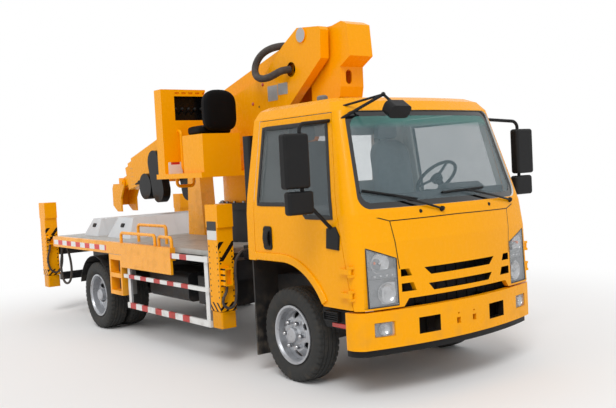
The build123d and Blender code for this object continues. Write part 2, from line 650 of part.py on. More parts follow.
def cab_pieces():
    top = CAB_LEVELS[-1][0]
    skin = cab_solid(0, CAB_BOTTOM_Z, top) - cab_solid(CAB_WALL, CAB_BOTTOM_Z - 1, top - CAB_WALL)
    skin -= bar((FRONT_AXLE_X, -1200, AXLE_Z), (FRONT_AXLE_X, 1200, AXLE_Z), 2 * ARCH_RADIUS)
    skin -= block(CAB_BACK_X - 10, FRONT_AXLE_X, -1200, 1200, CAB_BOTTOM_Z - 10, ARCH_TOP_Z)
    pane = cab_solid(GLASS_INSET, CAB_FLOOR_Z + 60, top - CAB_WALL)
    pane -= cab_solid(GLASS_INSET + GLASS_THICKNESS, CAB_FLOOR_Z + 50, top - CAB_WALL + 1)
    pieces = {}
    for side, tag in ((1, "left"), (-1, "right")):
        door = skin & across(door_face(RUNNING_GAP, 0), side)
        skin -= across(door_face(0, 20), side)
        pieces[f"door_{tag}"] = door - across(window_face(0), side)
        pieces[f"door_glass_{tag}"] = pane & across(window_face(SEAT_GAP), side)
    skin -= screen_prism(0)
    skin -= rear_window_prism(0)
    pieces["cab_glass"] = [pane & screen_prism(SEAT_GAP), pane & rear_window_prism(SEAT_GAP)]
    front_zone = block(FRONT_X - PANEL_DEPTH, FRONT_X, -1000, 1000, PANEL_BOTTOM_Z, PANEL_TOP_Z)
    front = skin & front_zone
    skin -= front_zone
    lamps = []
    for side in (1, -1):
        lamps.append(front & lamp_prism(side, SEAT_GAP))
        front -= lamp_prism(side, 0)
    for z, top_half, low_half, tall in GRILLE_SLOTS:
        corners = [(-top_half, z + tall / 2), (top_half, z + tall / 2), (low_half, z - tall / 2),
                   (-low_half, z - tall / 2)]
        front -= plate_yz(corners, FRONT_X - 260, FRONT_X)
    (top_half, top_z), (low_half, low_z) = LOWER_GRILLE
    front -= plate_yz([(-top_half, top_z), (top_half, top_z), (low_half, low_z), (-low_half, low_z)],
                      FRONT_X - 260, FRONT_X)
    for top_y, low_y, outer, low_z, high_z in GRILLE_VENTS:
        vent = plate_yz([(top_y, high_z), (outer, high_z), (outer, low_z), (low_y, low_z)], FRONT_X - 260,
                        FRONT_X)
        front -= vent
        front -= mirror(vent, about=Plane.XZ)
    floor = cab_solid(CAB_WALL, CAB_FLOOR_Z - CAB_WALL, CAB_FLOOR_Z)
    floor &= block(CAB_BACK_X, FRONT_X - PANEL_DEPTH - 40, -1000, 1000, 0, 2000)
    for side in (1, -1):
        for z in HINGE_LEVELS:
            skin += hinge_ears(side, z)
    pieces["cab_shell"] = skin + floor
    pieces["cab_front"] = front
    pieces["lamps"] = lamps
    return pieces


CAB = cab_pieces()


def bumper_outline(grow):
    """Plan outline of the bumper: bowed front, ends carried back along the sides."""
    front = FRONT_X - grow
    corner = (FRONT_X - 145 - grow, 945 - grow)
    shoulder = (FRONT_X - 195 - grow, 990 - grow)
    tip = (FRONT_X - 300 - grow, 1006 - grow)
    bow = ThreePointArc((corner[0], -corner[1], 0), (front, 0, 0), (corner[0], corner[1], 0))
    left = ThreePointArc((corner[0], corner[1], 0), (shoulder[0], shoulder[1], 0), (tip[0], tip[1], 0))
    right = ThreePointArc((tip[0], -tip[1], 0), (shoulder[0], -shoulder[1], 0), (corner[0], -corner[1], 0))
    return make_face([bow, left, Line((tip[0], tip[1], 0), (tip[0], -tip[1], 0)), right])


def bumper():
    tall = BUMPER_TOP_Z - BUMPER_BOTTOM_Z
    shell = extrude(bumper_outline(0), amount=tall) - extrude(bumper_outline(BUMPER_WALL), amount=tall)
    shell = Pos(0, 0, BUMPER_BOTTOM_Z) * shell
    for side in (1, -1):
        for inner, outer, low, high in BUMPER_OPENINGS:
            shell -= block(FRONT_X - 260, FRONT_X + 10, side * inner, side * outer, low, high)
        shell -= fog_lamp_prism(side, 0)
    web = FRAME_WIDTH / 2 - RAIL_WALL
    stays = [block(RAIL_FRONT_X - 50, FRONT_X - 50, side * (web - 40), side * web, 610,
                   680) for side in (1, -1)]
    return shell + stays[0] + stays[1]


def fog_lamp_prism(side, gap):
    inner, outer, low, high = FOG_LAMP
    return block(FRONT_X - 260, FRONT_X + 10, side * (inner + gap), side * (outer - gap), low + gap,
                 high - gap)


def fog_lamp(side):
    """Lamp body in its bumper opening, set in behind the bumper's face."""
    tall = BUMPER_TOP_Z - BUMPER_BOTTOM_Z
    band = extrude(bumper_outline(FOG_LAMP_DEPTH / 2), amount=tall) - extrude(bumper_outline(BUMPER_WALL),
                                                                              amount=tall)
    return Pos(0, 0, BUMPER_BOTTOM_Z) * band & fog_lamp_prism(side, SEAT_GAP)


def lip():
    tall = BUMPER_BOTTOM_Z - LIP_BOTTOM_Z
    skirt = extrude(bumper_outline(25), amount=tall) - extrude(bumper_outline(70), amount=tall)
    return Pos(0, 0, LIP_BOTTOM_Z) * skirt


node("cab_shell", CAB["cab_shell"])
node("cab_front", CAB["cab_front"])
node("cab_glass", CAB["cab_glass"])
node("bumper", bumper())
for tag in ("left", "right"):
    node(f"door_glass_{tag}", CAB[f"door_glass_{tag}"])


# cab trim: lip under the bumper, intake duct behind the cab and the front-view mirror on two stays
def cab_trim():
    duct = block(DUCT_X, DUCT_X + DUCT_DEPTH, DUCT_Y, DUCT_Y + DUCT_WIDTH, DECK_TOP_Z, DUCT_TOP_Z)
    duct = fillet(duct.edges().filter_by(Axis.Z), 25)
    duct += block(DUCT_X + DUCT_DEPTH - 5, CAB_BACK_X, DUCT_Y + 50, DUCT_Y + 90, 1480, 1540)
    x, y, z = FRONT_MIRROR
    head = Box(90, 210, 110)
    head = Pos(x, y, z) * Rot(0, 35, 0) * fillet(head.edges().filter_by(Axis.X), 40)
    foot, bend = FRONT_MIRROR_STAY
    stays = bar(foot, bend, 24)
    stays += bar((foot[0] - 35, foot[1] + 60, foot[2] + 110), bend, 18)
    stays += bar(bend, (x, y, z + 20), 22)
    joint = Pos(bend) * Sphere(18)
    view = head + stays + joint - CAB["cab_shell"] - CAB["cab_glass"][0]
    return [lip(), duct, view.solids().sort_by(SortBy.VOLUME)[-1]]


# cab inside: seats on their boxes, dashboard on a pedestal, steering column and wheel
def seat(y0, y1):
    x0 = CAB_BACK_X + 210
    x1 = x0 + 480
    base = block(x0 + 40, x1 - 40, y0 + 40, y1 - 40, CAB_FLOOR_Z, CAB_FLOOR_Z + 260)
    cushion = fillet(block(x0, x1, y0, y1, CAB_FLOOR_Z + 260, CAB_FLOOR_Z + 400).edges(), 30)
    outline = [(x0 + 60, CAB_FLOOR_Z + 300), (x0 + 190, CAB_FLOOR_Z + 300), (x0 + 60, 2080),
               (x0 - 50, 2080)]
    back = plate_xz(outline, y0 + 20, y1 - 20)
    return base + cushion + back


def cab_interior():
    fascia = plate_xz([(FRONT_X - 500, 1250), (FRONT_X - 300, 1250), (FRONT_X - 300, 1560),
                       (FRONT_X - 460, 1500)], -860, 860)
    fascia += block(FRONT_X - 420, FRONT_X - 300, -220, 220, CAB_FLOOR_Z, 1260)
    x, y, z = STEERING_WHEEL
    fascia += bar((FRONT_X - 410, y, 1380), (x, y, z), 60)
    tilt = Pos(x, y, z) * Rot(0, -45, 0)
    fascia += tilt * Torus(STEERING_RADIUS, 15)
    fascia += tilt * Cylinder(60, 24)
    for k in range(3):
        fascia += tilt * Rot(0, 0, 120 * k) * Pos(STEERING_RADIUS / 2, 0, 0) * Box(STEERING_RADIUS, 26, 14)
    return [seat(250, 750), seat(-750, 60), fascia]


# mudguards: flaps behind the front wheels, arched plates over the rear ones on cross tubes
def mudguards():
    flaps = both_sides(block(CAB_BACK_X + 5, CAB_BACK_X + 25, 720, 970, FLAP_BOTTOM_Z, ARCH_TOP_Z))
    inner = REAR_TRACK / 2 - TWIN_SPACING / 2 - TYRE_WIDTH / 2 - 14
    outer = REAR_TRACK / 2 + TWIN_SPACING / 2 + TYRE_WIDTH / 2 + 14
    axle = (REAR_AXLE_X, AXLE_Z)
    arch = bar((axle[0], inner, axle[1]), (axle[0], outer, axle[1]), 2 * REAR_ARCH_RADIUS)
    arch -= bar((axle[0], inner - 1, axle[1]), (axle[0], outer + 1, axle[1]),
                2 * (REAR_ARCH_RADIUS - GUARD_SHEET))
    arch -= block(axle[0] - 600, axle[0] + 600, inner - 1, outer + 1, -AXLE_Z, AXLE_Z + 130)
    stay_z = RAIL_TOP_Z - 25
    middle = REAR_ARCH_RADIUS - GUARD_SHEET / 2
    run = sqrt(middle ** 2 - (stay_z - AXLE_Z) ** 2)
    for x in (axle[0] - run, axle[0] + run):
        arch += bar((x, FRAME_WIDTH / 2, stay_z), (x, outer - 20, stay_z), 30)
    return flaps + both_sides(arch)


TAIL_LAMP = block(DECK_REAR_X - 25, DECK_REAR_X, BODY_HALF_WIDTH - 360, BODY_HALF_WIDTH - 90, 950, 1040)
node("lamps", CAB["lamps"], [fog_lamp(1), fog_lamp(-1)], both_sides(TAIL_LAMP))
node("cab_trim", cab_trim())
node("cab_interior", cab_interior())
node("mudguards", mudguards())


# subframe: two long members on the rails, a box across each end for the outrigger beams, the slewing pedestal
def beam_box(jack_x):
    """Cross box with two cells side by side, a slide pad in the floor of each mouth."""
    top = BEAM_BOTTOM_Z + BEAM_HEIGHT + BEAM_CLEARANCE
    box = block(jack_x - BEAM_BOX_HALF, jack_x + BEAM_BOX_HALF, -BEAM_BOX_END, BEAM_BOX_END, RAIL_TOP_Z,
                top + BEAM_BOX_WALL)
    half = BEAM_WIDTH / 2 + BEAM_CLEARANCE
    for x in (jack_x - BEAM_OFFSET, jack_x + BEAM_OFFSET):
        box -= block(x - half, x + half, -BEAM_BOX_END - 1, BEAM_BOX_END + 1,
                     BEAM_BOTTOM_Z - BEAM_CLEARANCE, top)
        for y in (-BEAM_BOX_END, BEAM_BOX_END - PAD_LENGTH):
            box += block(x - half, x + half, y, y + PAD_LENGTH, BEAM_BOTTOM_Z - BEAM_CLEARANCE,
                         BEAM_BOTTOM_Z - SEAT_GAP)
    return box


def subframe():
    deck_bottom = DECK_TOP_Z - DECK_THICKNESS
    base = (Align.CENTER, Align.CENTER, Align.MIN)
    whole = beam_box(FRONT_JACK_X) + beam_box(REAR_JACK_X)
    outer = FRAME_WIDTH / 2
    for side in (1, -1):
        whole += block(REAR_JACK_X + BEAM_BOX_HALF, FRONT_JACK_X - BEAM_BOX_HALF,
                       side * (outer - MEMBER_WIDTH), side * outer,
                       RAIL_TOP_Z, deck_bottom)
        front = side * HOSE_POST_Y
        box_top = RAIL_TOP_Z + 2 * BEAM_BOX_WALL + 2 * BEAM_CLEARANCE + BEAM_HEIGHT
        whole += block(FRONT_JACK_X + 50, FRONT_JACK_X + 150, front - 30, front + 30, box_top,
                       FRONT_HOSE[-1][2] + 35)
        face = REAR_JACK_X + BEAM_BOX_HALF
        whole += block(face, face + 45, side * (BEAM_BOX_END - 45), side * BEAM_BOX_END, REAR_HOSE[-1][2],
                       REAR_HOSE[-1][2] + 60)
    pedestal = Pos(SLEW_X, 0, RAIL_TOP_Z) * Cylinder(PEDESTAL_RADIUS, RING_BOTTOM_Z - RAIL_TOP_Z,
                                                     align=base)
    pedestal += Pos(SLEW_X, 0, RING_BOTTOM_Z) * Cylinder(RING_RADIUS, RING_TOP_Z - RING_BOTTOM_Z,
                                                         align=base)
    whole += pedestal
    whole -= Pos(SLEW_X, 0, RAIL_TOP_Z - 1) * Cylinder(PEDESTAL_RADIUS - PEDESTAL_WALL,
                                                       RING_TOP_Z - RAIL_TOP_Z + 2, align=base)
    return whole


# outriggers: a hollow beam fused to an upright leg tube, and the jack that slides down out of the leg
def hose_guide(face_x, low, high):
    """Small open frame on the leg's front face, at the outer side of the right-hand leg."""
    outer = BODY_HALF_WIDTH - 22
    frame = block(face_x, face_x + 60, -outer, -outer + 86, low, high)
    return frame - block(face_x + 14, face_x + 61, -outer + 14, -outer + 72, low + 16, high - 16)


def outrigger(jack_x, side, guide):
    """Beam and leg for the right-hand side, mirrored for the left."""
    inner = BODY_HALF_WIDTH - JACK_DEPTH
    middle = inner + JACK_DEPTH / 2
    cell_x = jack_x + side * BEAM_OFFSET
    top = BEAM_BOTTOM_Z + BEAM_HEIGHT
    beam = block(cell_x - BEAM_WIDTH / 2, cell_x + BEAM_WIDTH / 2, -inner, BEAM_INNER_END, BEAM_BOTTOM_Z,
                 top)
    beam -= block(cell_x - BEAM_WIDTH / 2 + BEAM_WALL, cell_x + BEAM_WIDTH / 2 - BEAM_WALL,
                  -inner + BEAM_WALL, BEAM_INNER_END + 1,
                  BEAM_BOTTOM_Z + BEAM_WALL, top - BEAM_WALL)
    half = JACK_WIDTH / 2
    leg = block(jack_x - half, jack_x + half, -BODY_HALF_WIDTH, -inner, JACK_TUBE_BOTTOM_Z, JACK_TOP_Z)
    leg += block(jack_x - half - CAP_GROW, jack_x + half + CAP_GROW, -BODY_HALF_WIDTH, -inner,
                 CAP_BOTTOM_Z, JACK_TOP_Z)
    leg -= block(jack_x - half + JACK_WALL, jack_x + half - JACK_WALL, -BODY_HALF_WIDTH + JACK_WALL,
                 -inner - JACK_WALL,
                 JACK_TUBE_BOTTOM_Z + GLAND_LENGTH, JACK_TOP_Z - JACK_WALL)
    leg -= Pos(jack_x, -middle, JACK_TUBE_BOTTOM_Z) * Cylinder(JACK_ROD_DIAMETER / 2 + PIN_CLEARANCE,
                                                               3 * GLAND_LENGTH)
    whole = beam + leg + hose_guide(jack_x + half, *guide)
    return whole if side < 0 else mirror(whole, about=Plane.XZ)


def jack(jack_x, side):
    middle = BODY_HALF_WIDTH - JACK_DEPTH / 2
    rod = bar((jack_x, side * middle, FOOT_Z + 40), (jack_x, side * middle, JACK_TOP_Z - 60),
              JACK_ROD_DIAMETER)
    half_x = JACK_WIDTH / 2 - 3
    half_y = JACK_DEPTH / 2 - 3
    foot = block(jack_x - half_x, jack_x + half_x, side * middle - half_y, side * middle + half_y, FOOT_Z,
                 JACK_TUBE_BOTTOM_Z - RUNNING_GAP)
    return rod + fillet(foot.edges().filter_by(Axis.Z), 18)


# columns: name of the end, leg x, height range of the hose guide
OUTRIGGERS = (
    ("front", FRONT_JACK_X, (FRONT_HOSE[0][2], FRONT_HOSE[0][2] + 165)),
    ("rear", REAR_JACK_X, (REAR_HOSE[0][2], REAR_HOSE[0][2] + 120)),
)
node("subframe", subframe())
for end, jack_x, guide in OUTRIGGERS:
    for side, tag in ((1, "left"), (-1, "right")):
        node(f"beam_{end}_{tag}", outrigger(jack_x, side, guide))
        node(f"jack_{end}_{tag}", jack(jack_x, side))


# deck: plate with edge beams and skirts, handrails, boom rest
def handrail(x0, x1, y, height):
    points = [(x0, y, DECK_TOP_Z), (x0, y, DECK_TOP_Z + height), (x1, y, DECK_TOP_Z + height),
              (x1, y, DECK_TOP_Z)]
    return bent_tube(points, RAIL_TUBE, 40)


def deck_body():
    """Deck plate with its hole for the pedestal, then the edge beams, skirts, rails and boom rest on it."""
    low = DECK_TOP_Z - DECK_THICKNESS
    edge_low = DECK_TOP_Z - EDGE_HEIGHT
    inner = BODY_HALF_WIDTH - EDGE_WIDTH
    front_of_edge = DECK_REAR_X + EDGE_WIDTH
    deck = block(front_of_edge, DECK_FRONT_X, -inner, inner, low, DECK_TOP_Z)
    deck -= Pos(SLEW_X, 0, low) * Cylinder(PEDESTAL_RADIUS + 20, 400)
    rear_edge = block(DECK_REAR_X, front_of_edge, -BODY_HALF_WIDTH, BODY_HALF_WIDTH, edge_low, DECK_TOP_Z)
    member = FRAME_WIDTH / 2
    skirt_face = BODY_HALF_WIDTH - GUARD_THICKNESS
    fixed = []
    for side in (1, -1):
        rear_edge -= block(DECK_REAR_X - 1, front_of_edge + 1, side * (member - MEMBER_WIDTH),
                           side * member, edge_low - 1, low)
        fixed.append(block(front_of_edge, SKIRT_FRONT_X, side * inner, side * BODY_HALF_WIDTH, edge_low,
                           DECK_TOP_Z))
        fixed.append(block(SKIRT_REAR_X, SKIRT_FRONT_X, side * skirt_face, side * BODY_HALF_WIDTH,
                           SKIRT_BOTTOM_Z, edge_low))
        fixed += [handrail(x0, x1, side * y, height) for x0, x1, y, height in HANDRAILS]
    top = boom_point(*boom_local(REST_REAR_X, -(BOOM_HEIGHT - BOOM_TOP)))[1] - RUNNING_GAP
    rest = [(REST_REAR_X - 60, DECK_TOP_Z), (REST_FRONT_X + 60, DECK_TOP_Z), (REST_FRONT_X, top),
            (REST_REAR_X, top)]
    return [deck, rear_edge, plate_xz(rest, -REST_HALF, REST_HALF)] + fixed


def deck_boxes():
    hatches = []
    for x0, x1, height in HATCHES:
        low = Pos((x0 + x1) / 2, 0, DECK_TOP_Z) * Rectangle(x1 - x0, 2 * HATCH_HALF)
        hatches.append(extrude(low, amount=height, taper=HATCH_TAPER))
    return hatches


# side guards: three boards on two posts, and a step box with two foot holes behind them
def side_guard():
    outer = BODY_HALF_WIDTH
    face = outer - GUARD_THICKNESS
    edge_low = DECK_TOP_Z - EDGE_HEIGHT
    low_deck = DECK_TOP_Z - DECK_THICKNESS
    front = DECK_FRONT_X - 70
    guard = block(front, front + 70, face - 24, face, GUARD_BOARDS[-1][0], low_deck - 22)
    guard += block(front, front + 70, face - 90, face, low_deck - 22, low_deck)
    guard += block(SKIRT_REAR_X + 100, SKIRT_REAR_X + 160, face - 24, face, GUARD_BOARDS[-1][0], edge_low)
    for z0, z1, x0 in GUARD_BOARDS:
        guard += block(x0, GUARD_FRONT_X, face, outer, z0, z1)
    step = block(STEP_REAR_X, STEP_FRONT_X, outer - STEP_DEPTH, outer, STEP_BOTTOM_Z, edge_low)
    for z in (STEP_BOTTOM_Z + 45, STEP_BOTTOM_Z + 245):
        step -= block(STEP_REAR_X + 35, STEP_FRONT_X - 35, outer - STEP_DEPTH + 20, outer + 1, z, z + 150)
    return [guard, step]


# point and direction helpers for the boom: along it from the pivot, and above its line
def boom_point(along, above):
    """World x and z of a point given along the boom and above its pivot line."""
    slope = radians(BOOM_SLOPE)
    return (PIVOT_X - along * cos(slope) - above * sin(slope),
            PIVOT_Z - along * sin(slope) + above * cos(slope))


def boom_local(x, above):
    """Place along the boom where a line at this height above the pivot line crosses x."""
    slope = radians(BOOM_SLOPE)
    return ((PIVOT_X - x - above * sin(slope)) / cos(slope), above)


def on_boom(shape):
    slope = radians(BOOM_SLOPE)
    frame = Plane(origin=(PIVOT_X, 0, PIVOT_Z), x_dir=(-cos(slope), 0, -sin(slope)),
                  z_dir=(-sin(slope), 0, cos(slope)))
    return frame * shape


node("deck_body", deck_body())
node("deck_boxes", deck_boxes())
node("side_guards", [piece for shape in side_guard() for piece in both_sides(shape)])


# outside mirrors: two heads on a bent stay, seated on the door
def outside_mirror(door):
    x = FRONT_X - 435
    upper = fillet(block(x - 45, x + 45, 1190, 1420, 1640, 2050).edges(), 25)
    lower = fillet(block(x - 40, x + 40, 1165, 1400, 1445, 1620).edges(), 25)
    arm = bent_tube([(x, 1250, 1630), (x, 1250, 2120), (x - 95, 870, 2150)], 30, 60)
    low_arm = bar((x, 1250, 1640), (x, 1250, 1500), 30) + bar((x, 1180, 1500), (x + 15, 975, 1290), 30)
    return upper + lower + arm + low_arm - door


def door_strap(side, z):
    """Hinge strap on the door: foot on the skin, round end on the pin."""
    strap = block(HINGE_X - 110, HINGE_X, side * (HINGE_Y - 14), side * (HINGE_Y + 14), z - 20, z + 20)
    strap += block(HINGE_X - 110, HINGE_X - 70, side * (HINGE_Y - 50), side * (HINGE_Y + 14), z - 20,
                   z + 20)
    strap += Pos(HINGE_X, side * HINGE_Y, z) * Cylinder(14, 40)
    return strap


for side, tag in ((1, "left"), (-1, "right")):
    door = CAB[f"door_{tag}"]
    for z in HINGE_LEVELS:
        door += door_strap(side, z)
    for z in HINGE_LEVELS:
        door -= Pos(HINGE_X, side * HINGE_Y, z) * Cylinder(HINGE_PIN / 2 + PIN_CLEARANCE, 60)
    node(f"door_{tag}", door)
    stay = outside_mirror(CAB["door_left"])
    node(f"mirror_{tag}", stay if side > 0 else mirror(stay, about=Plane.XZ))


# turntable: drum on the slewing ring, floor plate, two box walls that carry boom pin and luff cylinder
def turntable():
    base = (Align.CENTER, Align.CENTER, Align.MIN)
    low = RING_TOP_Z + SLEW_GAP
    drum = Pos(SLEW_X, 0, low) * Cylinder(COLUMN_RADIUS, PLATE_Z - low, align=base)
    drum -= Pos(SLEW_X, 0, low - 1) * Cylinder(COLUMN_RADIUS - PEDESTAL_WALL, PLATE_Z - low + 1, align=base)
    drum += block(SLEW_X - 950, SLEW_X + 620, -450, 450, PLATE_Z, PLATE_Z + PLATE_THICKNESS)
    top = PLATE_Z + PLATE_THICKNESS
    outline = [(SLEW_X + x, z) for x, z in ((WALL_REAR, top), (WALL_FRONT, top)) + WALL_OUTLINE]
    wall = plate_xz(outline, -WALL_OUTER_Y, -WALL_INNER_Y)
    hollow = offset(make_face(Polyline(*[(x, 0, z) for x, z in outline], close=True)), amount=-WALL_SHEET)
    hollow = extrude(Pos(0, -WALL_OUTER_Y + WALL_SHEET, 0) * hollow,
                     amount=WALL_OUTER_Y - WALL_INNER_Y - 2 * WALL_SHEET, dir=(0, 1, 0))
    wall -= hollow
    wall -= block(SLEW_X + WALL_REAR - 1, SLEW_X + WALL_REAR + 50, -WALL_OUTER_Y + WALL_SHEET,
                  -WALL_INNER_Y - WALL_SHEET, top + 2 * WALL_SHEET, 2300)
    right, left = both_sides(wall)
    right -= bar((HOSE_HOLE[0], -WALL_OUTER_Y - 1, HOSE_HOLE[1]),
                 (HOSE_HOLE[0], -WALL_OUTER_Y + WALL_SHEET + 1, HOSE_HOLE[1]), 140)
    whole = drum + right + left
    whole += block(SLEW_X + WALL_REAR, SLEW_X + WALL_REAR + 20, -WALL_INNER_Y, WALL_INNER_Y, top, top + 120)
    reach = WALL_OUTER_Y + 15
    whole += bar((PIVOT_X, -reach, PIVOT_Z), (PIVOT_X, reach, PIVOT_Z), PIN_DIAMETER)
    for end in (-1, 1):
        whole += bar((PIVOT_X, end * reach, PIVOT_Z), (PIVOT_X, end * (WALL_OUTER_Y - 5), PIVOT_Z),
                     1.5 * PIN_DIAMETER)
    whole += bar((LUFF_FOOT_X, -WALL_INNER_Y - 5, LUFF_FOOT_Z),
                 (LUFF_FOOT_X, WALL_INNER_Y + 5, LUFF_FOOT_Z), LUFF_PIN)
    return whole


# operator's station on the right: floor, control panel with levers, seat box and grab rails
def console():
    top = PLATE_Z + CONSOLE_FLOOR
    inner = -450
    back = SLEW_X - 500
    station = block(back, back + 950, CONSOLE_OUTER_Y, inner, PLATE_Z, top)
    station += block(back + 50, back + 200, CONSOLE_OUTER_Y, inner - 10, top, PANEL_HEIGHT_Z)
    station -= block(back + 90, back + 201, -830, -475, 2350, 2600)
    for k in range(5):
        y = -820 + 80 * k
        station -= block(back + 185, back + 201, y, y + 50, 2622, 2642)
    for k in range(5):
        y = -800 + 75 * k
        station += bar((back + 85, y, 2420), (back + 165, y, 2470), 14)
    station += block(back + 550, back + 950, -950, -530, top, SEAT_BOX_Z)
    front = back + 250
    rail = [(front - 60, -800, 2240), (front, -800, 2240), (front, -800, 1830), (front, -600, 1830),
            (front, -600, 2240),
            (front - 60, -600, 2240)]
    station += bent_tube(rail, RAIL_TUBE, 45)
    hang = [(back + 30, y, z) for y, z in ((-760, PLATE_Z + 5), (-760, 1665), (-560, 1665),
                                           (-560, PLATE_Z + 5))]
    station += bent_tube(hang, RAIL_TUBE, 40)
    return station


def operator_seat():
    cushion = fillet(block(SLEW_X - 20, SLEW_X + 400, -880, -500, SEAT_BOX_Z,
                           SEAT_BOX_Z + 100).edges().filter_by(Axis.Z), 40)
    back = fillet(block(SLEW_X + 290, SLEW_X + 405, -880, -500, SEAT_BOX_Z + 70,
                        2605).edges().filter_by(Axis.X), 60)
    return cushion + back


node("turntable", turntable())
node("console", console())
node("operator_seat", operator_seat())


# boom: three box sections, each sliding in the one before on pad rings at its root and at the outer mouth
def section_limits(step):
    """Half width, bottom and top of the boom's section number step."""
    inset = step * SECTION_STEP
    return BOOM_WIDTH / 2 - inset, BOOM_TOP - BOOM_HEIGHT + inset, BOOM_TOP - inset


def tube_section(step, start, end, wall, closed):
    half, low, high = section_limits(step)
    body = block(start, end, -half, half, low, high)
    body -= block(closed, end - PAD_LENGTH, -half + wall, half - wall, low + wall, high - wall)
    next_half, next_low, next_high = section_limits(step + 1)
    mouth = block(end - PAD_LENGTH - 1, end + 1, -next_half - SEAT_GAP, next_half + SEAT_GAP,
                  next_low - SEAT_GAP, next_high + SEAT_GAP)
    return body - mouth


def root_ring(step, start, outer_wall):
    """Pad ring round the root of a section, just clear of the section outside it."""
    half, low, high = section_limits(step - 1)
    gap = outer_wall + SEAT_GAP
    ring = block(start, start + PAD_LENGTH, -half + gap, half - gap, low + gap, high - gap)
    inner_half, inner_low, inner_high = section_limits(step)
    return ring - block(start - 1, start + PAD_LENGTH + 1, -inner_half + 1, inner_half - 1, inner_low + 1,
                        inner_high - 1)


def boom_base():
    half = BOOM_WIDTH / 2
    base = on_boom(tube_section(0, BASE_START, BASE_END, BOOM_WALL, CAVITY_START))
    high = NOSE_TOP_Z
    nose = [(535, 2770), (510, 3055), (430, high), (300, high - 22), (-50, high - 22), (-50, 2760),
            (390, 2690)]
    belly = [(390, 2690), (388, 2510), (366, 2420), (-50, 2312), (-50, 2700), (110, 2760)]
    hollow = [(372, 2660), (372, 2512), (350, 2400), (-90, 2290), (-90, 2640), (10, 2665)]
    nose = plate_xz([(PIVOT_X + x, z) for x, z in nose], -half, half)
    belly = plate_xz([(PIVOT_X + x, z) for x, z in belly], -half, half)
    hollow = plate_xz([(PIVOT_X + x, z) for x, z in hollow], -half + 14, half - 14)
    belly -= hollow
    belly -= Pos(PIVOT_X + 380, -35, 2600) * Rot(0, 90, 0) * extrude(SlotOverall(130, 72), amount=60,
                                                                     both=True)
    whole = base + nose + belly
    whole -= block(PIVOT_X - 240, PIVOT_X + 310, -half - 1, half + 1, NOSE_TOP_Z, NOSE_TOP_Z + 200)
    whole -= bar((PIVOT_X, -half - 1, PIVOT_Z), (PIVOT_X, half + 1, PIVOT_Z),
                 PIN_DIAMETER + 2 * PIN_CLEARANCE)
    low = BOOM_TOP - BOOM_HEIGHT
    ears = []
    for side in (1, -1):
        inner = side * EAR_INNER
        outer = side * (EAR_INNER + EAR_THICKNESS)
        ear = block(LUFF_EYE_ALONG - EAR_FOOT, LUFF_EYE_ALONG + EAR_FOOT, inner, outer, low - 40, low)
        ear += block(LUFF_EYE_ALONG - EAR_RADIUS, LUFF_EYE_ALONG + EAR_RADIUS, inner, outer,
                     -LUFF_EYE_BELOW, low)
        eye = Pos(LUFF_EYE_ALONG, (inner + outer) / 2, -LUFF_EYE_BELOW) * Rot(90, 0, 0)
        ear += eye * Cylinder(EAR_RADIUS, EAR_THICKNESS)
        ear -= eye * Cylinder(LUFF_PIN / 2, 2 * EAR_THICKNESS)
        ears.append(on_boom(ear))
    return [whole] + ears


def boom_middle():
    tube = tube_section(1, MIDDLE_START, MIDDLE_END, MIDDLE_WALL, MIDDLE_START - 1)
    return on_boom(tube + root_ring(1, MIDDLE_START, BOOM_WALL))


def boom_inner():
    half, low, high = section_limits(2)
    tube = block(INNER_START, INNER_END, -half, half, low, high)
    tube -= block(INNER_START - 1, INNER_END - 40, -half + INNER_WALL, half - INNER_WALL, low + INNER_WALL,
                  high - INNER_WALL)
    tube += root_ring(2, INNER_START, MIDDLE_WALL)
    tongue = block(INNER_END - 20, HEAD_PIN_ALONG, -half, half, -HEAD_PIN_BELOW - 60, -HEAD_PIN_BELOW + 60)
    tongue += Pos(HEAD_PIN_ALONG, 0, -HEAD_PIN_BELOW) * Rot(90, 0, 0) * Cylinder(60, 2 * half)
    tongue -= Pos(HEAD_PIN_ALONG, 0, -HEAD_PIN_BELOW) * Rot(90, 0,
                                                            0) * Cylinder(HEAD_PIN / 2 + PIN_CLEARANCE, 400)
    return on_boom(tube + tongue)


# reel covers: an oval cover on each side of the boom and a hose drum behind the right-hand one
def boom_fittings():
    half = BOOM_WIDTH / 2
    oval = Rot(90, 0, 0) * extrude(Rot(0, 0, 90) * SlotOverall(660, 300), amount=100)
    pieces = []
    for side, far_y in ((1, half + 120), (-1, -half - 20)):
        cover = Pos(COVER_ALONG, far_y, -400) * oval
        cover += block(COVER_ALONG - 70, COVER_ALONG + 70, side * half, side * (half + 24), -300, -110)
        pieces.append(on_boom(cover))
    drum = Pos(DRUM_ALONG, half + 70, -439) * Rot(90, 0, 0) * Cylinder(165, 100)
    drum += block(DRUM_ALONG - 60, DRUM_ALONG + 60, half, half + 40, -330, -285)
    pieces.append(on_boom(drum))
    return pieces


# luff cylinder: barrel on the turntable's foot pin, rod with an eye between the boom's ears
def luff_axis():
    eye_x, eye_z = boom_point(LUFF_EYE_ALONG, -LUFF_EYE_BELOW)
    run = (eye_x - LUFF_FOOT_X, eye_z - LUFF_FOOT_Z)
    length = sqrt(run[0] ** 2 + run[1] ** 2)
    frame = Plane(origin=(LUFF_FOOT_X, 0, LUFF_FOOT_Z), x_dir=(run[0], 0, run[1]),
                  z_dir=(-run[1], 0, run[0]))
    return frame, length


def luff_barrel():
    frame, length = luff_axis()
    tube = bar((60, 0, 0), (length - 90, 0, 0), BARREL_DIAMETER)
    tube += Rot(90, 0, 0) * Cylinder(LUFF_PIN / 2 + 35, 120)
    tube -= bar((80, 0, 0), (length, 0, 0), ROD_DIAMETER + 2 * PIN_CLEARANCE)
    tube -= Rot(90, 0, 0) * Cylinder(LUFF_PIN / 2 + PIN_CLEARANCE, 200)
    return frame * tube


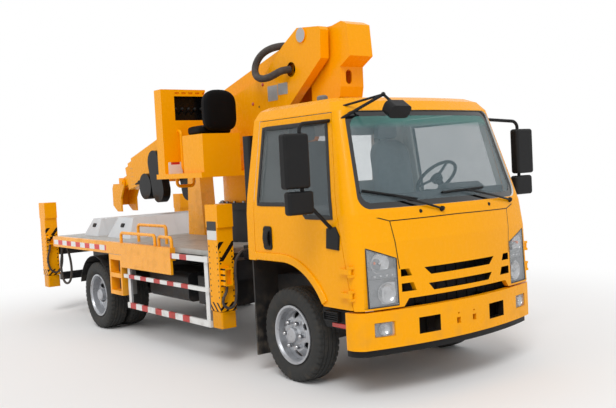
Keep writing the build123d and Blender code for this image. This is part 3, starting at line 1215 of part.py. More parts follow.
def luff_rod():
    frame, length = luff_axis()
    rod = bar((85, 0, 0), (length - 40, 0, 0), ROD_DIAMETER)
    rod += Pos(length, 0, 0) * Rot(90, 0, 0) * Cylinder(60, 2 * (EAR_INNER - 7))
    rod -= Pos(length, 0, 0) * Rot(90, 0, 0) * Cylinder(LUFF_PIN / 2, 200)
    return frame * rod


node("boom_base", boom_base())
node("boom_middle", boom_middle())
node("boom_inner", boom_inner())
node("boom_fittings", boom_fittings())
node("luff_barrel", luff_barrel())
node("luff_rod", luff_rod())


# head: two cheeks on the boom tip's pin, a top plate with the rotator post
def boom_head():
    pin_x, pin_z = boom_point(HEAD_PIN_ALONG, -HEAD_PIN_BELOW)
    inner = section_limits(2)[0] + HEAD_GAP
    outer = inner + HEAD_SHEET
    post = ROTATOR_X
    outline = [(pin_x + 62, pin_z), (pin_x + 40, pin_z + 48), (pin_x - 40, pin_z + 48),
               (pin_x - 62, HEAD_TOP_Z),
               (post - 110, HEAD_TOP_Z), (post - 150, 1640), (post - 150, 1400), (post - 10,
                                                                                  1316), (post + 114, 1316),
               (post + 114, 1500), (pin_x + 61, pin_z - 49)]
    right, left = both_sides(plate_xz(outline, -outer, -inner))
    head = right + left
    head += block(post - 110, post + 90, -outer, outer, HEAD_TOP_Z - 60, HEAD_TOP_Z)
    head += block(post - 150, post - 130, -outer, outer, 1400, HEAD_TOP_Z - 60)
    head += bar((pin_x, -outer - 10, pin_z), (pin_x, outer + 10, pin_z), HEAD_PIN)
    head += bar((ROTATOR_X, 0, HEAD_TOP_Z - 30), (ROTATOR_X, 0, HEAD_TOP_Z + 75), ROTATOR_POST)
    return head


# bucket and the arm that carries it under its floor, turning on the head's post
def bucket_arm():
    low = HEAD_TOP_Z + SLEW_GAP
    top = BUCKET_FLOOR_Z
    arm = Pos(ROTATOR_X, 0, (low + top + 20) / 2) * Cylinder(78, top + 20 - low)
    arm += block(ROTATOR_X - 78, ROTATOR_X + 78, 0, 560, low, top)
    arm += block(ROTATOR_X, BUCKET_FRONT_X - BUCKET_LENGTH / 2, 400, 560, low, top)
    arm -= Pos(ROTATOR_X, 0, low) * Cylinder(ROTATOR_POST / 2 + PIN_CLEARANCE, 400)
    return arm


def bucket():
    x0 = BUCKET_FRONT_X - BUCKET_LENGTH
    y1 = BUCKET_INNER_Y + BUCKET_WIDTH
    top = BUCKET_FLOOR_Z + BUCKET_HEIGHT
    tub = block(x0, BUCKET_FRONT_X, BUCKET_INNER_Y, y1, BUCKET_FLOOR_Z, top)
    tub = fillet(tub.edges().filter_by(Axis.Z), 60)
    wall = BUCKET_WALL
    inside = block(x0 + wall, BUCKET_FRONT_X - wall, BUCKET_INNER_Y + wall, y1 - wall,
                   BUCKET_FLOOR_Z + wall, top + 1)
    tub -= fillet(inside.edges().filter_by(Axis.Z), 60 - wall)
    return tub


node("boom_head", boom_head())
node("bucket_arm", bucket_arm())
node("bucket", bucket())


# hoses: straight runs joined by arcs, each as large as its two runs allow
def corner_radii(points):
    places = [Vector(*point) for point in points]
    radii = []
    for before, here, after in zip(places, places[1:], places[2:]):
        first = here - before
        second = after - here
        turn = radians(first.get_angle(second))
        radii.append(0.45 * min(first.length, second.length) / tan(turn / 2))
    return radii


def hose(name, points, diameter):
    radii = corner_radii(points)
    tube = bent_tube(points, diameter, radii)
    print(name, "radii", [round(r) for r in radii], "smallest in diameters",
          round(min(radii) / diameter, 1))
    return tube


node("boom_hose", hose("boom_hose", [(PIVOT_X + x, y, z) for x, y, z in BOOM_HOSE], BOOM_HOSE_DIAMETER))
# columns: name, route, x that it starts from, diameter
SIDE_HOSES = (
    ("front_hose", FRONT_HOSE, FRONT_JACK_X, JACK_HOSE),
    ("rear_hose", REAR_HOSE, REAR_JACK_X, JACK_HOSE),
    ("rear_loop", REAR_LOOP, DECK_REAR_X, LOOP_HOSE),
)
for side, tag in ((1, "left"), (-1, "right")):
    for name, route, start_x, diameter in SIDE_HOSES:
        points = [(start_x + x, side * (BODY_HALF_WIDTH - inboard), z) for x, inboard, z in route]
        node(f"{name}_{tag}", hose(f"{name}_{tag}", points, diameter))


# write every piece
os.makedirs("parts", exist_ok=True)
for name, shape in PARTS.items():
    export_step(shape, f"parts/{name}.step")
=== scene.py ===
from math import cos, pi, radians, sin

import bmesh
import bpy
import numpy as np
from mathutils import Matrix


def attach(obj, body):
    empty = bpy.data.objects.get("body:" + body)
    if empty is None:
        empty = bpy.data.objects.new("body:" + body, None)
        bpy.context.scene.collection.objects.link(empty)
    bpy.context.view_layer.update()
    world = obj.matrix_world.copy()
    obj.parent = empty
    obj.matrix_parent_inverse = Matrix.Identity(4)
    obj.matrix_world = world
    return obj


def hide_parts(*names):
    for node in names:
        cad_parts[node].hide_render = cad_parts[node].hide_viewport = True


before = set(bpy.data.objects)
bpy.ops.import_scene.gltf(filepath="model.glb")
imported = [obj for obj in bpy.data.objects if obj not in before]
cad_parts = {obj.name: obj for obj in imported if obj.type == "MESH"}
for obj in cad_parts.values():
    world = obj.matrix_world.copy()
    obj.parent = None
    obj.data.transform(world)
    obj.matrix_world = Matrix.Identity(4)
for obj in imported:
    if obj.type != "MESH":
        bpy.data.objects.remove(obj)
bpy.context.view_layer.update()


# Ladder frame with its axles, leaf springs, engine and the tanks hung on the rails.
# Pressed channel and cast steel, riveted and bolted together, brushed over with satin black chassis paint.
class Shade:
    """A shader socket.  Operators on it add Math nodes, and node() adds any other node."""

    def __init__(self, tree, socket=None):
        self.tree = tree
        self.socket = socket

    def node(self, kind, settings=None, inputs=None, out=0):
        """Add a node: its settings first, then a value or a link for each input; gives the named output."""
        made = self.tree.nodes.new(kind)
        for key, value in (settings or {}).items():
            setattr(made, key, value)
        for key, value in (inputs or {}).items():
            if isinstance(value, Shade):
                self.tree.links.new(value.socket, made.inputs[key])
            else:
                made.inputs[key].default_value = value
        return Shade(self.tree, made.outputs[out])

    def math(self, operation, first, second=0.0):
        """One Math node."""
        return self.node("ShaderNodeMath", {"operation": operation}, {0: first, 1: second})

    def __add__(self, other):
        return self.math("ADD", self, other)

    def __sub__(self, other):
        return self.math("SUBTRACT", self, other)

    def __rsub__(self, other):
        return self.math("SUBTRACT", other, self)

    def __mul__(self, other):
        return self.math("MULTIPLY", self, other)

    def __truediv__(self, other):
        return self.math("DIVIDE", self, other)

    def __rtruediv__(self, other):
        return self.math("DIVIDE", other, self)

    def __gt__(self, other):
        return self.math("GREATER_THAN", self, other)

    def __lt__(self, other):
        return self.math("LESS_THAN", self, other)

    def __abs__(self):
        return self.math("ABSOLUTE", self)

    __radd__ = __add__
    __rmul__ = __mul__

    def either(self, other):
        """The larger of the two: where one mask or the other holds."""
        return self.math("MAXIMUM", self, other)

    def both(self, other):
        """The smaller of the two: where both masks hold."""
        return self.math("MINIMUM", self, other)

    def wave(self):
        """Sine of an angle in radians."""
        return self.math("SINE", self)

    def part(self):
        """What is left after the whole number."""
        return self.math("FRACT", self)

    def rise(self, low, high):
        """0 below low, 1 above high, an S-curve between."""
        steps = {"Value": self, "From Min": low, "From Max": high}
        return self.node("ShaderNodeMapRange", {"interpolation_type": "SMOOTHSTEP"}, steps)

    def blend(self, first, second):
        """Colour from first to second by this factor."""
        return self.node("ShaderNodeMix", {"data_type": "RGBA"}, {0: self, 6: first, 7: second}, 2)

    def grain(self, scale, detail=3.0):
        """Cloud noise on this point."""
        return self.node("ShaderNodeTexNoise", None, {"Vector": self, "Scale": scale, "Detail": detail})

    def bump(self, distance):
        """Normal of a surface with this height."""
        return self.node("ShaderNodeBump", None, {"Height": self, "Distance": distance})


def ink(red, green, blue):
    """Linear colour of a printed one: c / 12.92 below 0.04045, ((c + 0.055) / 1.055) ** 2.4 above."""
    screen = np.array((red, green, blue)) / 255.0
    linear = np.where(screen < 0.04045, screen / 12.92, ((screen + 0.055) / 1.055) ** 2.4)
    return (*linear.tolist(), 1.0)


def finish(name, recipe, **constants):
    """Material: constants stand on the shader's own sockets, recipe(point, x, y, z) gives what changes."""
    made = bpy.data.materials.new(name)
    made.use_nodes = True
    tree = made.node_tree
    shader = tree.nodes["Principled BSDF"]
    point = Shade(tree).node("ShaderNodeTexCoord", out="Object")
    x, y, z = [point.node("ShaderNodeSeparateXYZ", None, {0: point}, axis) for axis in "XYZ"]
    for key, value in constants.items():
        shader.inputs[key.replace("_", " ")].default_value = value
    for key, value in recipe(point, x, y, z).items():
        tree.links.new(value.socket, shader.inputs[key])
    return made


def dress(material, *names):
    """Put a material in the slots of CAD nodes."""
    for name in names:
        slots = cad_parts[name].data.materials
        for k in range(len(slots)):
            slots[k] = material


ROAD_DUST = ink(116, 104, 90)
CHASSIS_BLACK = ink(30, 30, 32)


def chassis_coat(point, x, y, z):
    """Black paint under clouds of dust, which thin out upwards."""
    dust = point.grain(7.0, 6.0).rise(0.42, 0.78) * (1.2 - z.rise(0.1, 1.1))
    return {"Base Color": (dust * 0.4).blend(CHASSIS_BLACK, ROAD_DUST),
            "Roughness": dust * 0.35 + point.grain(40.0) * 0.2 + 0.34,
            "Normal": point.grain(160.0, 4.0).bump(0.0006)}


chassis_paint = finish("satin_chassis_paint", chassis_coat, Specular_IOR_Level=0.3)
dress(chassis_paint, "chassis_frame", "front_axle", "rear_axle", "engine_block", "chassis_tanks",
      "subframe",
      "knuckle_left", "knuckle_right")


# Wheels: steel discs under silver paint, six nuts each, and low-platform truck tyres.
# The tyres are vulcanised rubber with four grooves round the tread and cross cuts in the shoulders.
def grid(points, round_rows=False, round_columns=True):
    """Four neighbours of a grid of points (rows, columns, 3) to a face, joined round where asked."""
    rows, columns = points.shape[:2]
    index = np.arange(rows * columns).reshape(rows, columns)
    if round_rows:
        index = np.vstack([index, index[:1]])
    if round_columns:
        index = np.hstack([index, index[:, :1]])
    faces = np.stack([index[:-1, :-1], index[1:, :-1], index[1:, 1:], index[:-1, 1:]], axis=-1)
    return points.reshape(-1, 3), faces.reshape(-1, 4).tolist()


def piece(name, shapes, material, body, crease=35.0, thick=0.0):
    """One object of several shapes: doubles merged, faces turned outwards, edges sharper than crease kept."""
    mesh = bpy.data.meshes.new(name)
    work = bmesh.new()
    for points, faces in shapes:
        mesh.clear_geometry()
        mesh.from_pydata(points.tolist(), [], faces)
        work.from_mesh(mesh)
    bmesh.ops.remove_doubles(work, verts=work.verts, dist=1e-5)
    bmesh.ops.dissolve_degenerate(work, edges=work.edges, dist=1e-6)
    bmesh.ops.recalc_face_normals(work, faces=work.faces)
    work.to_mesh(mesh)
    work.free()
    mesh.shade_smooth()
    mesh.set_sharp_from_angle(angle=radians(crease))
    mesh.materials.append(material)
    made = bpy.data.objects.new(name, mesh)
    bpy.context.scene.collection.objects.link(made)
    if thick:
        wall = made.modifiers.new("wall", "SOLIDIFY")
        wall.thickness = thick
    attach(made, body)
    return made


WHEEL_Z = 0.3985
TYRE_HALF = 0.1165
TREAD_HALF = 0.0915
TREAD_CREASE = 50.0
GROOVE_LINES = np.array((-0.058, -0.02, 0.02, 0.058))
GROOVE_DEPTH = 0.009
SIPE_DEPTH = 0.005
LUGS = 44


def tyre(centre):
    """Section (a across, r out) turned about Y; r drops where a groove or a shoulder cut runs.

    The section is a bead, a bulged side and a crowned tread; cuts show where cos(LUGS * turn) is high.
    """
    side_a = np.array([0.0845, 0.0875, 0.104, 0.1135, TYRE_HALF, 0.1145, 0.110, 0.1035, 0.0965])
    side_r = np.array([0.2355, 0.259, 0.277, 0.296, 0.316, 0.343, 0.368, 0.3835, 0.3905])
    tread_a = np.linspace(TREAD_HALF, -TREAD_HALF, 49)
    tread_r = WHEEL_Z - 0.006 * np.abs(tread_a / TREAD_HALF) ** 3
    across = np.concatenate([side_a, tread_a, -side_a[::-1]])
    out = np.concatenate([side_r, tread_r, side_r[::-1]])
    turn = np.linspace(0.0, 2 * pi, LUGS * 6, endpoint=False)
    groove = (np.min(np.abs(across[:, None] - GROOVE_LINES), axis=1) < 0.0045) & (out > 0.38)
    shoulder = (np.abs(across) > 0.066) & (out > 0.365)
    rib = (np.abs(np.abs(across) - 0.039) < 0.014) & (out > 0.38)
    slant = np.cos(LUGS * turn[None, :] + np.sign(across)[:, None] * 1.4)
    cut = shoulder[:, None] & (slant > 0.45)
    sipe = rib[:, None] & (slant > 0.8)
    radius = out[:, None] - GROOVE_DEPTH * (groove[:, None] | cut) - SIPE_DEPTH * sipe
    points = np.stack([centre[0] + radius * np.cos(turn), centre[1] + across[:, None] + 0 * radius,
                       centre[2] + radius * np.sin(turn)], axis=-1)
    return grid(points, round_rows=True)


RUBBER = ink(52, 52, 51)


def tyre_rubber(point, x, y, z):
    """Dark rubber with a little dust in clouds."""
    dust = point.grain(11.0, 5.0).rise(0.45, 0.8)
    return {"Base Color": (dust * 0.2).blend(RUBBER, ROAD_DUST),
            "Roughness": dust * 0.2 + point.grain(80.0) * 0.15 + 0.6,
            "Normal": point.grain(260.0, 4.0).bump(0.0008)}


rubber = finish("tyre_rubber", tyre_rubber, Specular_IOR_Level=0.2)
FRONT_AXLE_X, FRONT_WHEEL_Y = 2.25, 0.84
REAR_AXLE_X, REAR_WHEEL_Y, TWIN_HALF_GAP = -1.565, 0.825, 0.135
SIDES = (("left", 1.0), ("right", -1.0))
for tag, side in SIDES:
    single = [tyre((FRONT_AXLE_X, side * FRONT_WHEEL_Y, WHEEL_Z))]
    made = piece(f"tyre_front_{tag}", single, rubber, f"front_wheel_{tag}", TREAD_CREASE)
    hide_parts(f"front_tyre_{tag}")
    steps = (-TWIN_HALF_GAP, TWIN_HALF_GAP)
    twins = [tyre((REAR_AXLE_X, side * (REAR_WHEEL_Y + step), WHEEL_Z)) for step in steps]
    made = piece(f"tyres_rear_{tag}", twins, rubber, f"rear_wheels_{tag}", TREAD_CREASE)
    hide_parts(f"rear_tyres_{tag}")

WHEEL_SILVER = ink(176, 178, 182)


def wheel_coat(point, x, y, z):
    """Silver paint with rust in small clouds."""
    rust = point.grain(26.0, 6.0).rise(0.56, 0.74)
    tone = (rust * 0.5).blend(WHEEL_SILVER, ink(92, 74, 60))
    return {"Base Color": tone, "Roughness": rust * 0.3 + point.grain(120.0) * 0.12 + 0.3,
            "Normal": point.grain(220.0).bump(0.0004)}


wheel_paint = finish("silver_wheel_paint", wheel_coat, Metallic=0.55)
dress(wheel_paint, "front_rim_left", "front_rim_right", "rear_rims_left", "rear_rims_right")


def lathe(profile, centre, axis, steps=40, ring=False):
    """Profile of (along, radius) pairs turned about an axis through the centre.

    A point is centre + along * axis + radius * (cos(turn) * side + sin(turn) * the other side).
    """
    along, radius = np.array(profile, float).T
    axis = np.array(axis, float) / np.linalg.norm(axis)
    side = np.cross(axis, (0.0, 0.0, 1.0) if abs(axis[2]) < 0.9 else (1.0, 0.0, 0.0))
    side /= np.linalg.norm(side)
    turn = np.linspace(0.0, 2 * pi, steps, endpoint=False)[:, None]
    spokes = np.cos(turn) * side + np.sin(turn) * np.cross(axis, side)
    points = np.array(centre, float) + along[:, None, None] * axis + radius[:, None, None] * spokes
    return grid(points, round_rows=ring)


def clouded(first, second, cloud, rough=None, peel=None):
    """Recipe: colour from first to second by a cloud, roughness a share of a cloud on a base, peel a bump.

    cloud is (scale, detail), rough is (scale, detail, share, base) and peel is (scale, detail, height).
    """
    def recipe(point, x, y, z):
        made = {"Base Color": point.grain(*cloud).blend(first, second)}
        if rough:
            made["Roughness"] = point.grain(*rough[:2]) * rough[2] + rough[3]
        if peel:
            made["Normal"] = point.grain(*peel[:2]).bump(peel[2])
        return made
    return recipe


# plated nut caps on the studs of the four outer discs, pressed on over the nuts
CAP = ((0.0, 0.0), (0.0, 0.020), (0.022, 0.0195), (0.034, 0.015), (0.040, 0.007), (0.041, 0.0))
STUD_CIRCLE = 0.11113
FRONT_DISC_Y = FRONT_WHEEL_Y + 0.074
REAR_DISC_Y = REAR_WHEEL_Y + TWIN_HALF_GAP - 0.04
studs = radians(60.0) * np.arange(6)
bright = clouded(ink(205, 206, 208), ink(150, 150, 152), (30.0, 3.0), (90.0, 4.0, 0.2, 0.12))
plating = finish("bright_plating", bright, Metallic=1.0)
DISCS = (("front_wheel", FRONT_AXLE_X, FRONT_DISC_Y), ("rear_wheels", REAR_AXLE_X, REAR_DISC_Y))
for tag, side in SIDES:
    for end, x, face in DISCS:
        spots = [(x + STUD_CIRCLE * cos(a), side * face, WHEEL_Z - STUD_CIRCLE * sin(a)) for a in studs]
        caps = [lathe(CAP, spot, (0, side, 0), 12) for spot in spots]
        piece(f"nut_caps_{end}_{tag}", caps, plating, f"{end}_{tag}")


# Cab: pressed steel shell, front panel and two doors, hung on strap hinges, in warm yellow gloss paint.
# Inside it is lined with pale vinyl, so faces that look towards the middle of the cab take the lining.
CAB_YELLOW = ink(250, 168, 0)
LINING = ink(232, 232, 229)
# black of the shut lines, also used as painted shade in openings, recesses and the hose hole
SHUT_LINE_AND_SHADE = ink(26, 22, 16)
PAINT_SHADE = 0.93
CAB_MIDDLE = (2.45, 0.0, 1.62)
WALL_INSIDE = 0.985
CAB_SILL = 1.06
PANEL_BACK = 3.19
SEAM_BACK = 2.95
SEAM_HALF = 0.0042
SEAM_RUNS = (((0.0, 1.365), (0.675, 1.358)), ((0.675, 1.358), (0.79, 1.394)),
             ((0.675, 1.358), (0.631, 0.991)))


def darker(colour, share):
    """Colour times a share, opaque."""
    return (*(share * part for part in colour[:3]), 1.0)


def gloss_coat(colour, marks=None):
    """Recipe of sprayed gloss: slight clouding, road dust low down, orange peel, and inked marks over it."""
    def recipe(point, x, y, z):
        tone = point.grain(1.6).blend(colour, darker(colour, PAINT_SHADE))
        for mask, dye in marks(point, x, y, z) if marks else ():
            tone = mask.blend(tone, dye)
        dust = point.grain(8.0, 6.0).rise(0.42, 0.82) * (1.0 - z.rise(0.2, 1.0))
        return {"Base Color": (dust * 0.2).blend(tone, ROAD_DUST),
                "Roughness": dust * 0.4 + point.grain(24.0, 4.0) * 0.14 + 0.2,
                "Normal": point.grain(300.0, 2.0).bump(0.0003)}
    return recipe


def inward(point, x, y, z):
    """1 where a face within the walls looks towards the middle of the cab."""
    facing = point.node("ShaderNodeTexCoord", out="Normal")
    centre = point.node("ShaderNodeVectorMath", {"operation": "SUBTRACT"}, {0: CAB_MIDDLE, 1: point})
    looks = point.node("ShaderNodeVectorMath", {"operation": "DOT_PRODUCT"}, {0: facing, 1: centre},
                       "Value")
    return (looks > 0.0).both(abs(y) < WALL_INSIDE)


def slant_line(across, z, start, end, width):
    """1 within width of the straight run between two (across, z) points."""
    run = np.subtract(end, start)
    length = float(np.hypot(*run))
    ahead, aside = (run / length).tolist(), (run[::-1] / length).tolist()
    along = (across - start[0]) * ahead[0] + (z - start[1]) * ahead[1]
    off = (across - start[0]) * aside[0] - (z - start[1]) * aside[1]
    return (abs(off) < width).both(abs(along - length / 2) < length / 2)


def front_seams_and_shade(point, x, y, z):
    """Shut lines of the front panel: level at the top, slanting to the pillars, and down beside the lamps;
    lining on the inner faces, and painted shade in black on those below the sill.
    """
    reach = abs(y)
    seam = slant_line(reach, z, *SEAM_RUNS[0], SEAM_HALF)
    for start, end in SEAM_RUNS[1:]:
        seam = seam.either(slant_line(reach, z, start, end, SEAM_HALF))
    inside = inward(point, x, y, z).either(x < PANEL_BACK)
    # inner faces below the sill are painted black as shade; the seams are dark shut lines
    return [(inside, LINING), (inside.both(z < CAB_SILL), SHUT_LINE_AND_SHADE), (seam.both(x > SEAM_BACK), SHUT_LINE_AND_SHADE)]


def lined(point, x, y, z):
    """Lining on what looks inward."""
    return [(inward(point, x, y, z), LINING)]


GLOSS = {"Coat_Weight": 0.06, "Coat_Roughness": 0.06, "Specular_IOR_Level": 0.12}
cab_paint = finish("cab_gloss_yellow", gloss_coat(CAB_YELLOW), **GLOSS)
shell_paint = finish("cab_shell_paint_and_lining", gloss_coat(CAB_YELLOW, lined), **GLOSS)
dress(shell_paint, "cab_shell", "door_left", "door_right")
dress(finish("cab_front_paint_seams_and_shade", gloss_coat(CAB_YELLOW, front_seams_and_shade), **GLOSS), "cab_front")

# Bumper: a bowed pressed beam on the frame's ends, with two large openings and a fog lamp hole at each side.
# Painted with the cab; the insides of the openings, and the faces well behind the bowed face, are painted
# black as shade.
BUMPER_BOW = 0.17
BUMPER_BACK = 3.3
BEAM_HALF = 0.8
OPENING_MIDDLE = (0.3875, 0.5375)
OPENING_HALF = (0.1035, 0.0635)


def bumper_opening_shade(point, x, y, z):
    """Painted shade: black in the two large openings and where x is well behind the bowed face, x + bow * y *
    y.
    """
    reach = abs(y)
    behind = (y * y * BUMPER_BOW + x < BUMPER_BACK).both(reach < BEAM_HALF)
    across = abs(reach - OPENING_MIDDLE[0]) < OPENING_HALF[0]
    level = abs(z - OPENING_MIDDLE[1]) < OPENING_HALF[1]
    # painted shade in black over the openings and the faces behind the bumper's face
    return [(across.both(level).either(behind), SHUT_LINE_AND_SHADE)]


dress(finish("bumper_paint_and_opening_shade", gloss_coat(CAB_YELLOW, bumper_opening_shade), **GLOSS), "bumper")

# Wheel-arch flares, door handles and mirror feet: moulded bands and plates, screwed through the doors' skin.
# The flares are in the cab's colour, the rest is grained black plastic.
DOOR_FACE = 1.0
ARCH_INNER = 0.623
ARCH_OUTER = 0.69
ARCH_MIDDLE = (ARCH_INNER + ARCH_OUTER) / 2
ARCH_TOP = WHEEL_Z + ARCH_MIDDLE
HANDLE_X = 2.06
GRIP = ((0.006, 1.15), (0.024, 1.17), (0.03, 1.215), (0.024, 1.26), (0.006, 1.28))
MIRROR_FOOT = np.array(((-0.09, -0.08), (0.06, -0.09), (0.075, 0.02), (0.03, 0.09), (-0.075, 0.075)))
UPWARD = (0, 0, 1)


def slab(outline, origin, across, up, depth, bevel=0.002):
    """Outline of (a, b) pairs in the plane of across and up, carried by depth along their cross product.

    Four rings, the first and last drawn towards the middle by the bevel; a face closes each end.
    """
    flat = np.array(outline, float)
    plane = np.array((across, up), float)
    out = np.cross(*plane)
    middle = (flat.min(axis=0) + flat.max(axis=0)) / 2
    spread = (flat.max(axis=0) - flat.min(axis=0)) / 2
    inner = middle + (flat - middle) * (1.0 - bevel / spread)
    levels = ((inner, 0.0), (flat, bevel), (flat, depth - bevel), (inner, depth))
    rings = np.stack([np.array(origin, float) + ring @ plane + level * out for ring, level in levels])
    points, faces = grid(rings)
    last = np.arange(len(flat)) + 3 * len(flat)
    return points, faces + [np.arange(len(flat))[::-1].tolist(), last.tolist()]


def rounded(width, height, radius, steps=6):
    """Rectangle about its middle with a quarter circle at each corner."""
    corners = np.array(((1, 1), (-1, 1), (-1, -1), (1, -1)))
    middles = corners * (width / 2 - radius, height / 2 - radius)
    angles = np.linspace(0.0, pi / 2, steps) + np.arange(4)[:, None] * pi / 2
    arcs = radius * np.stack([np.cos(angles), np.sin(angles)], axis=-1)
    return (middles[:, None] + arcs).reshape(-1, 2)


def carry(outline, path, up, closed=False):
    """Outline of (a, b) pairs carried along a path: a to the side of the path, b towards up."""
    path = np.array(path, float)
    if closed:
        ahead = np.roll(path, -1, axis=0) - np.roll(path, 1, axis=0)
    else:
        ahead = np.gradient(path, axis=0)
    ahead = ahead / np.linalg.norm(ahead, axis=1)[:, None]
    side = np.cross(ahead, up)
    side /= np.linalg.norm(side, axis=1)[:, None]
    top = np.cross(side, ahead)
    flat = np.array(outline, float)
    points = path[:, None] + flat[None, :, :1] * side[:, None] + flat[None, :, 1:] * top[:, None]
    verts, faces = grid(points, round_rows=closed)
    if not closed:
        ring = np.arange(len(flat))
        faces += [ring[::-1].tolist(), (ring + (len(path) - 1) * len(flat)).tolist()]
    return verts, faces


BLACK_PLASTIC = ink(20, 20, 21)


def plastic_grain(point, x, y, z):
    """Black plastic, paler and rougher where it is worn."""
    worn = point.grain(5.0, 5.0).rise(0.5, 0.85)
    return {"Base Color": (worn * 0.2).blend(BLACK_PLASTIC, ink(62, 60, 58)),
            "Roughness": worn * 0.2 + point.grain(60.0) * 0.15 + 0.42,
            "Normal": point.grain(520.0, 2.0).bump(0.0005)}


black_plastic = finish("grained_black_plastic", plastic_grain, Specular_IOR_Level=0.22)
turn = np.radians(np.linspace(31.0, 90.0, 40))
for tag, side in SIDES:
    level = (-side, 0, 0)
    skin = side * (DOOR_FACE + 0.004)
    bent = np.stack([FRONT_AXLE_X + ARCH_MIDDLE * np.cos(turn), np.full(40, skin),
                     WHEEL_Z + ARCH_MIDDLE * np.sin(turn)], axis=-1)
    straight = [(x, skin, ARCH_TOP) for x in (2.15, 2.05, 1.95, 1.866)]
    flare = carry(rounded(ARCH_OUTER - ARCH_INNER, 0.026, 0.011), np.vstack([bent, straight]),
                  (0.0, side, 0.0))
    piece(f"arch_flare_{tag}", [flare], cab_paint, f"door_{tag}")
    middle = (HANDLE_X, side * (DOOR_FACE - 0.003), 1.215)
    plate = slab(rounded(0.125, 0.20, 0.03), middle, level, UPWARD, 0.014, 0.004)
    grip_line = [(HANDLE_X, side * (DOOR_FACE + rise), z) for rise, z in GRIP]
    grip = carry(rounded(0.07, 0.016, 0.006), grip_line, (0.0, side, 0.0))
    piece(f"door_handle_{tag}", [plate, grip], black_plastic, f"door_{tag}")
    middle = (2.96, side * (DOOR_FACE - 0.006), 1.245)
    foot = slab(MIRROR_FOOT * (-side, 1.0), middle, level, UPWARD, 0.022, 0.006)
    piece(f"mirror_foot_{tag}", [foot], black_plastic, f"door_{tag}")

# Entry steps below the doors: moulded black boxes with a tread hole, hung on the cab's front mounts.
# A small red side reflector is clipped to the outside of each.
REFLECTOR_RED = ink(190, 40, 26)


def reflector_cells(point, x, y, z):
    """Cells of 1 / 160 m, dark and raised away from their middle lines."""
    cells = ((x * 160.0).part() - 0.5) * ((z * 160.0).part() - 0.5)
    return {"Base Color": (abs(cells) * 3.0).blend(REFLECTOR_RED, ink(120, 14, 12)),
            "Normal": abs(cells).bump(0.001)}


red_reflector = finish("red_reflector", reflector_cells, Roughness=0.15, Coat_Weight=0.6)
STEP_BOX = ((2.72, 0.69), (3.055, 0.69), (3.055, 0.575), (2.98, 0.535), (2.76, 0.535), (2.72, 0.60))
STEP_HOLE = ((2.775, 0.665), (2.945, 0.665), (2.945, 0.60), (2.775, 0.60))
STEP_TREADS = (0.615, 0.632, 0.649)
for tag, side in SIDES:
    level = (-side, 0, 0)
    box = slab(np.array(STEP_BOX) * (-side, 1.0), (0.0, side * 0.80, 0.0), level, UPWARD, 0.16, 0.006)
    edge = [(x, side * 0.97, z) for x, z in STEP_HOLE]
    lip = carry(rounded(0.014, 0.05, 0.005), edge, (0, side, 0), True)
    bars = [(2.86, side * 0.955, z) for z in STEP_TREADS]
    treads = [slab(rounded(0.165, 0.012, 0.004), bar, level, UPWARD, 0.03, 0.003) for bar in bars]
    piece(f"entry_step_{tag}", [box, lip] + treads, black_plastic, "chassis")
    lens = slab(rounded(0.17, 0.035, 0.008), (2.93, side * 0.958, 0.565), level, UPWARD, 0.012, 0.003)
    piece(f"side_reflector_{tag}", [lens], red_reflector, "chassis")


# Windows: curved laminated windscreen, rear pane and toughened door panes, sealed with black rubber.
# The screen has a fired black border and a green shade band along its top.
GLASS_TINT = ink(120, 142, 150)
BORDER_BLACK = ink(12, 12, 13)
SHADE_BAND = ink(38, 122, 112)
SCREEN_LOW, SCREEN_HIGH = 1.455, 2.218
SCREEN_HALF, SCREEN_TAPER = 0.905, 0.118
SCREEN_BACK = 2.5
BORDER = 0.045
CORNER = 0.08


def screen_tint(point, x, y, z):
    """Tinted glass; on the screen a border outside a rounded outline, and a band that rises at the top."""
    ahead = x > SCREEN_BACK
    half = SCREEN_HALF - (z - SCREEN_LOW) * SCREEN_TAPER
    wide = (abs(y) - half + BORDER + CORNER).either(0.0)
    tall = (SCREEN_LOW + BORDER + CORNER - z).either(z - SCREEN_HIGH + BORDER + CORNER).either(0.0)
    border = (wide * wide + tall * tall > CORNER ** 2).both(ahead)
    shade = z.rise(2.06, 2.13).both(ahead)
    tone = (shade * 0.9).blend(GLASS_TINT, SHADE_BAND)
    film = point.grain(3.0, 4.0) * 0.06
    return {"Base Color": border.blend(tone, BORDER_BLACK), "Roughness": film + 0.02,
            "Alpha": border.either(shade * 0.35 + film + ahead * 0.13 + 0.06)}


DOOR_TINT = ink(66, 80, 85)


def door_tint(point, x, y, z):
    """Darker tinted glass under a thin film of dirt."""
    film = point.grain(3.0, 4.0) * 0.08
    return {"Base Color": film.blend(DOOR_TINT, GLASS_TINT), "Alpha": film + 0.32, "Roughness": film + 0.02}


dress(finish("windscreen_glass", screen_tint, Coat_Weight=0.5), "cab_glass")
dress(finish("door_glass", door_tint, Coat_Weight=0.5), "door_glass_left", "door_glass_right")
WINDOW = ((1.92, 1.50), (1.92, 2.145), (2.80, 2.145), (2.945, 1.40), (2.615, 1.40), (2.505, 1.50))
SIDE_HEIGHTS = (0.70, 1.20, 1.42, 1.56, 2.225, 2.335)
SIDE_HALVES = (1.0, 1.0, 0.998, 0.984, 0.88, 0.765)


def along_outline(corners, spacing):
    """Points at an even spacing round a closed outline, the corners among them."""
    ends = np.array(corners, float)
    runs = np.roll(ends, -1, axis=0) - ends
    counts = np.maximum(1, np.ceil(np.hypot(*runs.T) / spacing)).astype(int)
    shares = np.concatenate([np.linspace(0.0, 1.0, count, endpoint=False) for count in counts])
    return np.repeat(ends, counts, axis=0) + shares[:, None] * np.repeat(runs, counts, axis=0)


